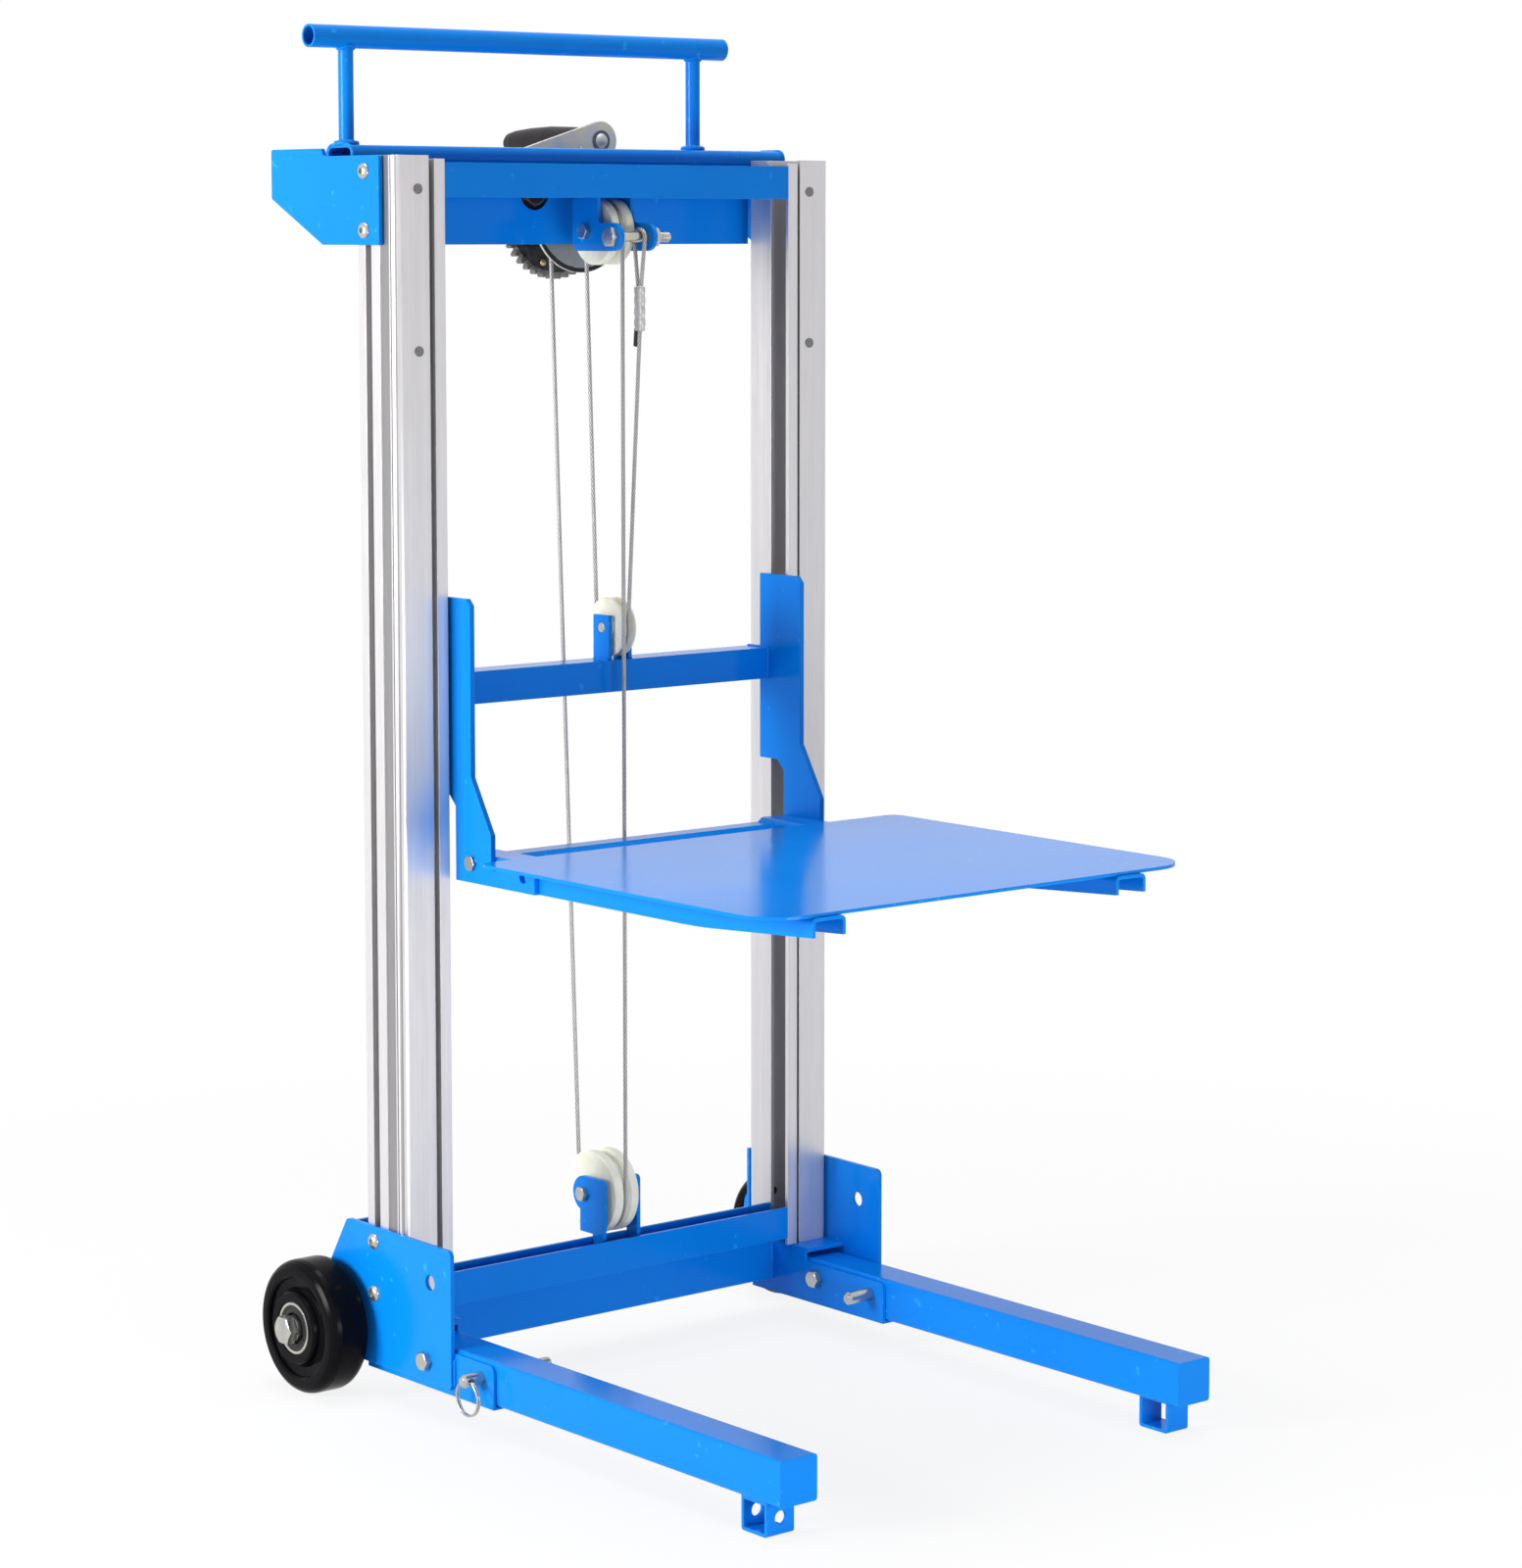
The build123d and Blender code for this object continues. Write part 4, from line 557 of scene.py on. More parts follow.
sleeve = carried(sleeve_path, sleeve_across * sleeve_scale, sleeve_away * sleeve_scale, X_WAY)
pressed_aluminium = satin_aluminium(
    "pressed_aluminium", PRESS_MARKS, rgb(0.66, 0.66, 0.65), rgb(0.34, 0.34, 0.34)
)
ferrule = piece(
    "rope_ferrule_pressed", [shell(sleeve)], pressed_aluminium, "inner_mast"
)
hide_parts("rope_ferrule")


def black_moulding(name, colour, rough, cells, depth, level):
    """Black moulding with a fine eggshell surface, a slow sheen change and a painted highlight on
    the edges.
    """
    made, shader, tree = new_finish(name, specular_ior_level=level)
    fine = grain(tree, cells, 2.0)
    cloud = grain(tree, 25.0)
    normal, edge = rounded(tree, 1.0 * MM)
    pale = toned(colour, 3.0)
    tone = spread(cloud * 0.5 + fine * 0.5, 0.0, 0.35).mixed(colour, pale)
    # painted highlight: paler edges
    (edge * 0.35).mixed(tone, pale).into(shader, "Base Color")
    (rough + spread(cloud, -0.05, 0.05)).into(shader, "Roughness")
    embossed(tree, fine, depth, normal).into(shader, "Normal")
    return made


TAIL_RADIUS = 2.6 * MM
TAIL_START = np.array([0.0, 4.2, 2.0]) * MM
TAIL_REACH = np.array([-0.6, 0.8, -17.0]) * MM
TAIL_STEP = 0.6 * MM
TAIL_ROUND_FROM = 0.93
DOME_SHARE = 0.98
TAIL_RIPPLE = 0.03
TAIL_WAVES = 60
SHRINK = rgb(0.010, 0.010, 0.011)
tail_top = ferrule_foot + TAIL_START
tail_path = run(tail_top, tail_top + TAIL_REACH, TAIL_STEP)
tail_share = np.linspace(0, 1, len(tail_path))
tail_end = np.clip((tail_share - TAIL_ROUND_FROM) / (1 - TAIL_ROUND_FROM), 0, DOME_SHARE)
tail_ripple = 1 + TAIL_RIPPLE * np.sin(tail_share * TAIL_WAVES) * (1 - tail_share)
tail_radius = (TAIL_RADIUS * np.sqrt(1 - tail_end**2) * tail_ripple)[:, None]
tail_angle = round_angles(20)
tail = carried(
    tail_path, tail_radius * np.cos(tail_angle), tail_radius * np.sin(tail_angle), X_WAY
)
shrink_black = black_moulding("heat_shrink_black", SHRINK, 0.42, 900.0, 0.04 * MM, 0.3)
piece("rope_tail_cap", [shell(tail)], shrink_black, "inner_mast")

# Bolts of the inner mast
# Hexagon bolts through the brackets with chamfered heads and nuts and a few bare threads, zinc
# plated, with the faint yellow and blue bloom of the passivation.

COLUMNS = 60
BOLT_CREASE = 25.0
NUT_CHAMFER = 0.07
NUT_FACE = 0.475
THREAD_DEPTH = 0.6
BROKEN_EDGE = 0.4 * MM
ZINC_BLUE = rgb(0.40, 0.43, 0.47)
ZINC_YELLOW = rgb(0.56, 0.52, 0.40)
ZINC_EDGE_HIGHLIGHT = rgb(0.82, 0.82, 0.82)


def zinc_plate(name, rough=0.22):
    """Bright zinc with a bloom that drifts from yellow to blue, fine pits and a painted highlight
    on the edges.
    """
    made, shader, tree = new_finish(name, metallic=0.9, specular_ior_level=0.4)
    bloom = grain(tree, 70.0)
    pits = grain(tree, 1300.0, 2.0)
    normal, edge = rounded(tree, 0.5 * MM)
    tone = spread(bloom).mixed(ZINC_BLUE, ZINC_YELLOW)
    # painted highlight: paler edges
    (edge * 0.5).mixed(tone, ZINC_EDGE_HIGHLIGHT).into(shader, "Base Color")
    (rough + spread(pits * 0.5 + bloom * 0.5, -0.07, 0.10)).into(shader, "Roughness")
    embossed(tree, pits, 0.02 * MM, normal).into(shader, "Normal")
    return made


def hexagon(flats):
    """Polar radius of a hexagon by its width across flats: half of it over the cosine of the
    angle from the middle of the nearest flat."""
    return flats / 2 / np.cos(round_angles(COLUMNS) % (math.pi / 3) - math.pi / 6)


def nut(flats, thick, seat=False):
    """Places along and radii of a hexagon cut by a 30 degree cone at both ends, or at the far
    end alone over a seat: the radius is the lesser of the hexagon's and the cone's."""
    depth = np.linspace(0, NUT_CHAMFER, 6) * flats
    along = np.concatenate([depth, thick - depth[::-1]])
    from_end = thick - along if seat else np.minimum(along, thick - along)
    cone = NUT_FACE * flats + math.tan(math.radians(60)) * from_end
    return along, np.minimum(hexagon(flats), cone[:, None])


def thread(radius, length, pitch):
    """Places along and radii of a screw thread: the radius dips by 0.6 of the pitch as a
    triangle wave of the place along less the angle's share of a turn, and tapers at the tip."""
    along = np.arange(0, length, pitch / 6)
    turn = np.linspace(0, 1, COLUMNS, endpoint=False)
    wave = np.abs(2 * ((along[:, None] / pitch - turn) % 1) - 1)
    tip = np.clip(along - length + pitch, 0, None)
    return along, radius - THREAD_DEPTH * pitch * wave - tip[:, None]


def disc(radius, thick):
    """Places along and radii of a washer or a plain shank with its edges broken."""
    edge = min(BROKEN_EDGE, thick / 4)
    along = np.array([0, edge, thick - edge, thick])
    return along, np.array([radius - edge, radius, radius, radius - edge])


def set_along_x(rows, start, way, y, z, ring=False):
    """Shell about a line along X through y and z, from places along and radii; it starts at
    start and goes to +X where way is 1, or to -X where it is -1. The rows of a ring go once
    round its section."""
    along, radius = rows
    angle = round_angles(COLUMNS)
    radius = np.asarray(radius, float).reshape(len(along), -1) * np.ones(COLUMNS)
    place = np.broadcast_to(start + way * np.asarray(along)[:, None], radius.shape)
    points = np.stack([place, y + radius * np.cos(angle), z + radius * np.sin(angle)], -1)
    return shell(points if way > 0 else points[::-1], ring)


def through_bolt(radius, flats, head, nut_thick, pitch, left, right, end, y, z):
    """A bolt from a seat at left to a nut on right, with bare thread to end."""
    nut_face = right + nut_thick
    return [
        set_along_x(nut(flats, head, True), left, -1, y, z),
        set_along_x(disc(radius, right - left), left, 1, y, z),
        set_along_x(nut(flats, nut_thick), right, 1, y, z),
        set_along_x(thread(radius, end - nut_face, pitch), nut_face, 1, y, z),
    ]


M8_RADIUS = 4.0 * MM
M8_FLATS = 13.0 * MM
M8_PITCH = 1.25 * MM
M10_PITCH = 1.5 * MM
AXLE_HEAD = 5.5 * MM
AXLE_END = 5.0 * MM
EYE_BOLT_FLATS = 17.0 * MM
EYE_BOLT_HEAD = 6.4 * MM
EYE_NUT = 8.0 * MM
zinc = zinc_plate("zinc_plate")


def zinc_bolts(name, shells, body, node=None):
    """A piece of zinc plated fasteners, which stands for a CAD node where one is named."""
    made = piece(name, shells, zinc, body, BOLT_CREASE)
    if node:
        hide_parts(node)


mast_bolts = []
for bracket, centre in (("lower_pulley_bracket", low_centre), ("top_pulley_bracket", top_centre)):
    ear_low, ear_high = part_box(bracket)
    mast_bolts += through_bolt(
        M8_RADIUS, M8_FLATS, AXLE_HEAD, AXLE_HEAD, M8_PITCH,
        ear_low[0], ear_high[0], ear_high[0] + AXLE_HEAD + AXLE_END, centre[1], centre[2],
    )
mast_bolts += through_bolt(
    EYE_BOLT_RADIUS, EYE_BOLT_FLATS, EYE_BOLT_HEAD, EYE_NUT, M10_PITCH,
    ear_low[0], ear_high[0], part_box("pulley_bolts")[1][0], eye_centre[1], EYE_BOLT_Z,
)
zinc_bolts("pulley_bolts_zinc", mast_bolts, "inner_mast", "pulley_bolts")

# Stop screws at the foot of the carriage tracks
# Flat countersunk screws in the back walls of the sliding uprights, blackened steel, almost
# flush.

STOP_RADIUS = 4.2 * MM
STOP_PROUD = 0.3 * MM
STOP_X = 208.0 * MM
STOP_Y = 115.0 * MM
STOP_Z = 129.0 * MM


def set_along_y(rows, start, x, z, way=1):
    """The same shell about a line along Y through x and z: that along X with its axes moved on
    by one place."""
    points, faces = set_along_x(rows, start, way, z, x)
    return points[:, [2, 0, 1]], faces


stop_rows = disc(STOP_RADIUS, STOP_PROUD)
stops = [set_along_y(stop_rows, STOP_Y, x, STOP_Z, -1) for x in (-STOP_X, STOP_X)]
piece("carriage_stop_screws", stops, shrink_black, "inner_mast", BOLT_CREASE)

# Head of the fixed mast: side plates, head tube, push handle
# Laser cut plates bolted to the uprights, a rounded tube between them and a handle of round
# tube, all welded with rippled beads and powder coated in one go.

WELD_STEP = 0.35 * MM
WELD_CREASE = 60.0


def weld(path, radius, side, ring=False):
    """Weld bead along a path: a round section whose radius swells with each puddle, r times
    0.84 + 0.16 sqrt|sin|, and sinks to a third of it at the two ends of an open bead."""
    length = travelled(path)
    whole = length[-1] + (np.linalg.norm(path[0] - path[-1]) if ring else 0)
    puddles = max(1, round(whole / (1.5 * radius)))
    swell = 0.84 + 0.16 * np.sqrt(np.abs(np.sin(math.pi * puddles * length / whole)))
    if not ring:
        swell = swell * np.clip(np.minimum(length, whole - length) / radius, 0.34, 1)
    angle = round_angles(10)
    size = radius * swell[:, None]
    return shell(carried(path, size * np.cos(angle), size * np.sin(angle), side, ring), ring)


def seam(start, end, radius, side):
    """A straight weld bead from start to end."""
    return weld(run(start, end, WELD_STEP), radius, side)


def box_weld(x, low, high, corner, radius):
    """Weld round a tube in the plane at x: four quarter turns of radius corner and the straight
    runs between them; low and high are the corners of the tube's box."""
    front, bottom = np.add(low, corner)[1:]
    back, top = np.subtract(high, corner)[1:]
    quarter = math.pi / 2
    turns = [
        bend((x, y, z), corner, count * quarter, (count + 1) * quarter, WELD_STEP)
        for count, (y, z) in enumerate(((back, top), (front, top), (front, bottom), (back, bottom)))
    ]
    runs = [run(turns[count - 1][-1], turns[count][0], WELD_STEP) for count in range(4)]
    path = joined(*(stretch for pair in zip(runs, turns) for stretch in pair))
    return weld(path[:-1], radius, X_WAY, True)


POST_RADIUS = 7.0 * MM
POST_FOOT = 12.0 * MM
POST_WELD = 2.4 * MM
POST_WELD_RISE = 1.6 * MM
SADDLE_OUT = 0.4 * MM
SADDLE_DROP = 0.3 * MM
BAR_WELD = 1.7 * MM
TUBE_ROUND = 8.0 * MM
TUBE_WELD = 1.6 * MM
SEAM_INSET = 0.6 * MM
dress(blue_coat, "head_side_plate_left", "head_side_plate_right", "head_tube")
dress(blue_coat, "handle_posts", "handle_bar")
tube_low, tube_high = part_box("head_tube")
posts_low, posts_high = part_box("handle_posts")
handle_low, handle_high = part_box("handle_bar")
bar_centre = middle("handle_bar")
bar_radius = (handle_high[2] - handle_low[2]) / 2
ring_turn = round_angles(150)
foot_reach = (POST_RADIUS + POST_FOOT) / 2
saddle_reach = POST_RADIUS + SADDLE_OUT
saddle_drop = np.sqrt(bar_radius**2 - (saddle_reach * np.sin(ring_turn)) ** 2) + SADDLE_DROP
head_welds = []
for post_x in (posts_low[0] + POST_FOOT, posts_high[0] - POST_FOOT):
    for reach, bead_z, bead in (
        (foot_reach, np.full_like(ring_turn, tube_high[2] + POST_WELD_RISE), POST_WELD),
        (saddle_reach, bar_centre[2] - saddle_drop, BAR_WELD),
    ):
        ring_x = post_x + reach * np.cos(ring_turn)
        ring_y = bar_centre[1] + reach * np.sin(ring_turn)
        head_welds.append(weld(np.stack([ring_x, ring_y, bead_z], 1), bead, Z_WAY, True))
for tube_x in (tube_low[0] + SEAM_INSET, tube_high[0] - SEAM_INSET):
    head_welds.append(box_weld(tube_x, tube_low, tube_high, TUBE_ROUND, TUBE_WELD))
piece("head_weld_beads", head_welds, blue_coat, "base", WELD_CREASE)

# Bolts of the side plates
# Low domed screws with a hexagon socket in T-slot nuts hold the plates to the uprights, and a
# hexagon bolt holds each leg in its channel.

SCREW_HEAD = 7.5 * MM
SCREW_DOME = 4.6 * MM
SCREW_LIP = 0.5 * MM
SCREW_SOCKET = 5.0 * MM
SOCKET_DEPTH = 2.4 * MM
SOCKET_RIM = 0.72
SCREW_Y = 131.0 * MM
SCREW_Z = (1126.0 * MM, 1073.0 * MM, 148.0 * MM, 99.0 * MM)
SLOT_NUT = 16.0 * MM
SLOT_NUT_THICK = 6.0 * MM
UPRIGHT_WALL = 4.0 * MM
LEG_BOLT_Y = 50.0 * MM
LEG_BOLT_Z = 53.0 * MM
LEG_BOLT_RADIUS = 5.0 * MM
LEG_BOLT_FLATS = 15.5 * MM
LEG_BOLT_HEAD = 6.4 * MM
LEG_NUT = 8.0 * MM


def socket_screw(radius, dome, socket):
    """Places along and radii of a domed head: an ellipse from the rim to a flat top, then down
    the six walls of the socket."""
    rim = np.linspace(radius, socket * SOCKET_RIM, 12)
    rise = dome * np.sqrt(1 - (rim / radius) ** 2)
    top = rise[-1]
    lifted = SCREW_LIP + rise * (top - SCREW_LIP) / top
    along = np.concatenate([[0.0], lifted, [top, top - SOCKET_DEPTH]])
    round_rows = np.concatenate([[radius], rim])[:, None] * np.ones(COLUMNS)
    return along, np.concatenate([round_rows, np.tile(hexagon(socket), (2, 1))])


def square_nut(side, thick):
    """Places along and radii of a square block with its corners broken: half the side over the
    cosine of the angle from the middle of the nearest side, up to two thirds of the side."""
    angle = round_angles(COLUMNS)
    polar = side / 2 / np.cos((angle + math.pi / 4) % (math.pi / 2) - math.pi / 4)
    return np.array([0, thick]), np.tile(np.minimum(polar, 0.66 * side), (2, 1))


def both_sides(stack, y, z):
    """Shells of a stack of fasteners on the right of the lift, and the same on its left; each
    has its places along and radii, its start and its way."""
    return [
        set_along_x(rows, side * start, side * way, y, z)
        for side in (-1, 1)
        for rows, start, way in stack
    ]


plate_in, plate_out = (corner[0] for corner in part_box("head_side_plate_right"))
channel_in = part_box("leg_channel_right")[0][0]
nut_face = plate_in - UPRIGHT_WALL
screw_stack = (
    (socket_screw(SCREW_HEAD, SCREW_DOME, SCREW_SOCKET), plate_out, 1),
    (disc(M8_RADIUS, plate_out - nut_face), nut_face, 1),
    (square_nut(SLOT_NUT, SLOT_NUT_THICK), nut_face, -1),
)
leg_bolt_stack = (
    (nut(LEG_BOLT_FLATS, LEG_BOLT_HEAD, True), plate_out, 1),
    (disc(LEG_BOLT_RADIUS, plate_out - channel_in), channel_in, 1),
    (nut(LEG_BOLT_FLATS, LEG_NUT), channel_in, -1),
)
plate_bolts = both_sides(leg_bolt_stack, LEG_BOLT_Y, LEG_BOLT_Z)
for screw_z in SCREW_Z:
    plate_bolts += both_sides(screw_stack, SCREW_Y, screw_z)
zinc_bolts("side_plate_bolts_zinc", plate_bolts, "base", "side_plate_bolts")

# Winch: panel, frame, drum, gears
# A bent blue panel in front, a black steel frame with the drum between its plates, a grey drum
# whose flange faces are painted near black towards the rim, a painted shade and painted reflection
# of the dished rim, and a large black gear with bare teeth.

BLACK_PAINT = rgb(0.010, 0.010, 0.011)
BLACK_HIGHLIGHT_AND_CHIP = rgb(0.06, 0.06, 0.06)
WORN_STEEL = rgb(0.20, 0.21, 0.22)
BRIGHT_STEEL = rgb(0.55, 0.55, 0.54)
STEEL_EDGE_HIGHLIGHT = rgb(0.42, 0.42, 0.41)
LINE_WEAR = 2.0 * MM
dress(blue_coat, "winch_panel", "winch_back_plate")
dress(powder_coat("black_paint", BLACK_PAINT, BLACK_HIGHLIGHT_AND_CHIP, 0.3), "winch_frame")


def two_tone(name, centre, limit, inner, outer, metal, bare=1.0):
    """A turned steel piece about Y with one finish up to a worn line at the radius limit and
    another beyond it, each with its share of metal, and bright metal beyond the radius bare."""
    made, shader, tree = new_finish(name, specular_ior_level=0.3)
    wear = grain(tree, 160.0)
    radius = from_axis(tree, centre, (1.0, 0.0, 1.0))
    beyond = radius + wear * LINE_WEAR > limit + LINE_WEAR / 2
    rim = radius > bare
    normal, edge = rounded(tree, 0.6 * MM)
    shade = spread(wear, 0.0, 0.3).mixed(inner, WORN_STEEL)
    tone = rim.mixed(beyond.mixed(shade, outer), BRIGHT_STEEL)
    # painted highlight: paler edges
    (edge * 0.4).mixed(tone, STEEL_EDGE_HIGHLIGHT).into(shader, "Base Color")
    metallic = metal[0] + beyond * (metal[1] - metal[0])
    tree.math("MAXIMUM", metallic, rim * 0.8).into(shader, "Metallic")
    (0.36 + spread(wear, -0.06, 0.08)).into(shader, "Roughness")
    embossed(tree, wear, 0.04 * MM, normal).into(shader, "Normal")
    return made


DRUM_RIM = 51.5 * MM
DRUM_EDGE = 55.8 * MM
DRUM_GREY = rgb(0.26, 0.29, 0.30)
DRUM_RIM_SHADE = rgb(0.006, 0.006, 0.006)
GEAR_ROOT = 56.0 * MM
GEAR_BLACK = rgb(0.008, 0.008, 0.009)
BARE_TEETH = rgb(0.17, 0.165, 0.16)
drum_centre = middle("winch_drum")
# painted shade and painted reflection: the drum's flange faces beyond DRUM_RIM are painted near
# black for the dished rim
drum_finish = two_tone(
    "drum_grey", drum_centre, DRUM_RIM, DRUM_GREY, DRUM_RIM_SHADE, (0.4, 0.0), DRUM_EDGE
)
dress(drum_finish, "winch_drum")
gear_finish = two_tone(
    "gear_bare_teeth", drum_centre, GEAR_ROOT, GEAR_BLACK, BARE_TEETH, (0.0, 0.7)
)
dress(gear_finish, "drum_gear")

BACK_PLATE = 4.0 * MM
TIE_INSET = 9.0 * MM
TIE_NUT = 6.5 * MM
TIE_WASHER = 9.0 * MM
TIE_WASHER_THICK = 1.5 * MM
TIE_END = 4.0 * MM
DRUM_NUT = 10.0 * MM
DRUM_WASHER = 14.88 * MM
DRUM_WASHER_THICK = 2.5 * MM
DRUM_END = 5.0 * MM
M16_RADIUS = 8.0 * MM
M16_FLATS = 24.0 * MM
M16_PITCH = 2.0 * MM
frame_low, frame_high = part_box("winch_frame")
back_face = frame_high[1] + BACK_PLATE


def rear_nut(washer, washer_thick, flats, thick, radius, end, pitch, x, z):
    """A washer, a nut and a bolt's bare end, one on the other behind the winch's rear plate."""
    seat = back_face + washer_thick
    return [
        set_along_y(disc(washer, washer_thick), back_face, x, z),
        set_along_y(nut(flats, thick), seat, x, z),
        set_along_y(thread(radius, end, pitch), seat + thick, x, z),
    ]


winch_nuts = rear_nut(
    DRUM_WASHER, DRUM_WASHER_THICK, M16_FLATS, DRUM_NUT,
    M16_RADIUS, DRUM_END, M16_PITCH, drum_centre[0], drum_centre[2],
)
for tie_x in (frame_low[0] + TIE_INSET, frame_high[0] - TIE_INSET):
    for tie_z in (frame_low[2] + TIE_INSET, frame_high[2] - TIE_INSET):
        winch_nuts += rear_nut(
            TIE_WASHER, TIE_WASHER_THICK, M8_FLATS, TIE_NUT,
            M8_RADIUS, TIE_END, M8_PITCH, tie_x, tie_z,
        )
zinc_bolts("winch_frame_nuts", winch_nuts, "base")

# Brass rivets between the drum's rear flange and its gear
# Three low domes in a ring, of yellow brass dulled by grease.

RIVET_RING = 49.8 * MM
RIVET_RADIUS = 3.4 * MM
RIVET_DOME = 2.0 * MM
RIVET_FIRST = -1.94
RIVETS = 3
FLANGE_FACE = 233.0 * MM
ROUND_CREASE = 40.0
brass, brass_shader, brass_tree = new_finish("dull_brass", metallic=0.8, specular_ior_level=0.3)
brass_wear = grain(brass_tree, 500.0)
brass_tone = spread(brass_wear).mixed(rgb(0.36, 0.25, 0.10), rgb(0.62, 0.48, 0.24))
brass_tone.into(brass_shader, "Base Color")
spread(brass_wear, 0.30, 0.48).into(brass_shader, "Roughness")
dome_round = np.linspace(0, DOME_SHARE, 10)
dome_rows = (RIVET_DOME * dome_round, RIVET_RADIUS * np.sqrt(1 - dome_round**2))
rivet_turn = RIVET_FIRST + round_angles(RIVETS)
rivet_x = drum_centre[0] + RIVET_RING * np.cos(rivet_turn)
rivet_z = drum_centre[2] + RIVET_RING * np.sin(rivet_turn)
rivets = [set_along_y(dome_rows, FLANGE_FACE, x, z, -1) for x, z in zip(rivet_x, rivet_z)]
piece("drum_gear_rivets", rivets, brass, "drum", ROUND_CREASE)

# Crank
# A flat zinc plated arm on the pinion shaft, with a moulded black grip that turns on its domed
# bolt over a washer whose dark grey is painted shade. A thin nut on the shaft's front end shows
# in the hole of the winch panel, painted near black as the shade in the hole, with paler edges as
# painted glints.

PINION_NUT = 5.0 * MM
NUT_PLAY = 0.1 * MM
ARM_THICK = 5.0 * MM
GRIP_WASHER = 10.4 * MM
GRIP_WASHER_THICK = 1.0 * MM
NUT_SHADE_BLACK = rgb(0.020, 0.018, 0.016)
NUT_GLINT_AND_CHIP = rgb(0.55, 0.52, 0.48)
WASHER_SHADE_GREY = rgb(0.10, 0.12, 0.15)
WASHER_HIGHLIGHT_AND_CHIP = rgb(0.45, 0.48, 0.52)
GRIP_BLACK = rgb(0.011, 0.009, 0.011)
shaft_axis = middle("pinion_shaft")
nut_seat = frame_low[1] - NUT_PLAY
pinion_nut = set_along_y(nut(M16_FLATS, PINION_NUT), nut_seat, shaft_axis[0], shaft_axis[2], -1)
# painted shade and painted glints: the nut is near black for the shade in the panel's hole, its
# edges pale
shaded_nut_steel = powder_coat("shaded_nut_steel", NUT_SHADE_BLACK, NUT_GLINT_AND_CHIP, 0.35)
piece("pinion_front_nut", [pinion_nut], shaded_nut_steel, "crank", BOLT_CREASE)
dress(zinc, "pinion_shaft")
dress(zinc_plate("arm_zinc", 0.38), "crank_arm")
dress(zinc_plate("bolt_zinc", 0.55), "grip_bolt")
grip_axis = middle("crank_grip")
arm_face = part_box("crank_arm")[1][1] - ARM_THICK
washer_rows = disc(GRIP_WASHER, GRIP_WASHER_THICK)
grip_washer = set_along_y(washer_rows, arm_face, grip_axis[0], grip_axis[2], -1)
# the washer is real; its dark grey is painted shade round the bolt's dome, and its paler edges a
# painted highlight
shaded_washer_steel = powder_coat("shaded_washer_steel", WASHER_SHADE_GREY, WASHER_HIGHLIGHT_AND_CHIP, 0.4)
piece("grip_bolt_washer", [grip_washer], shaded_washer_steel, "crank", BOLT_CREASE)
dress(black_moulding("grip_black", GRIP_BLACK, 0.40, 700.0, 0.03 * MM, 0.12), "crank_grip")

# Base: side plates, cross beam, leg channels, legs and feet
# Welded steel plate, channel and square tube under the same blue coat, with the beads of the
# beam's ends, of the feet and of the plates' front edges.

BEAM_ROUND = 2.5 * MM
BASE_WELD = 1.8 * MM
FOOT_WELD = 1.5 * MM
FOOT_SEAM_OUT = 0.3 * MM
LEG_BOTTOM = 30.0 * MM
FOOT_SPANS = (
    (-249.0 * MM, -219.5 * MM, -420.0 * MM, -387.0 * MM),
    (219.5 * MM, 245.0 * MM, -420.0 * MM, -384.0 * MM),
)
PLATE_SEAM_OUT = 0.4 * MM
PLATE_SEAM_Z = (36.0 * MM, 62.0 * MM)
dress(blue_coat, "base_side_plate_left", "base_side_plate_right", "base_cross_beam")
dress(blue_coat, "leg_channel_left", "leg_channel_right", "leg_left", "leg_right")
beam_low, beam_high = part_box("base_cross_beam")
base_welds = [
    box_weld(beam_x, beam_low, beam_high, BEAM_ROUND, BASE_WELD)
    for beam_x in (beam_low[0] + SEAM_INSET, beam_high[0] - SEAM_INSET)
]
for foot_left, foot_right, foot_front, foot_back in FOOT_SPANS:
    for foot_y in (foot_front - FOOT_SEAM_OUT, foot_back + FOOT_SEAM_OUT):
        foot_ends = ((foot_x, foot_y, LEG_BOTTOM) for foot_x in (foot_left, foot_right))
        base_welds.append(seam(*foot_ends, FOOT_WELD, Z_WAY))
plate_seam_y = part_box("base_side_plate_right")[0][1] - PLATE_SEAM_OUT
for way in (-1, 1):
    seam_x = way * (plate_in + PLATE_SEAM_OUT)
    plate_ends = ((seam_x, plate_seam_y, seam_z) for seam_z in PLATE_SEAM_Z)
    base_welds.append(seam(*plate_ends, BASE_WELD, X_WAY))
piece("base_weld_beads", base_welds, blue_coat, "base", WELD_CREASE)

# Wheels
# Hard black tyres moulded on a stepped disc, glossy from the mould, with a sealed ball bearing
# pressed into each face of the hub and a bolt for an axle.

HUB_RECESS = 4.0 * MM
RACE_ROWS = (
    np.array([0.0, 2.8, 3.1, 3.2, 3.2, 3.1, 2.6, 0.0]) * MM,
    np.array([24.2, 24.2, 24.05, 23.8, 21.9, 21.6, 21.4, 21.4]) * MM,
)
SEAL_ROWS = (
    np.array([0.0, 2.3, 2.5, 2.2, 2.2, 2.5, 2.3, 0.0]) * MM,
    np.array([21.4, 21.4, 20.6, 19.6, 16.4, 15.4, 14.6, 14.6]) * MM,
)
TYRE = rgb(0.0028, 0.0025, 0.0032)
SEAL = rgb(0.006, 0.006, 0.006)
tyre_black = black_moulding("tyre_black", TYRE, 0.18, 300.0, 0.012 * MM, 0.05)
seal_black = black_moulding("seal_black", SEAL, 0.45, 900.0, 0.02 * MM, 0.3)
bearing_steel = zinc_plate("bearing_steel", 0.16)
dress(tyre_black, "wheel_left", "wheel_right")
wheel_y, wheel_z = middle("wheel_right")[1:]
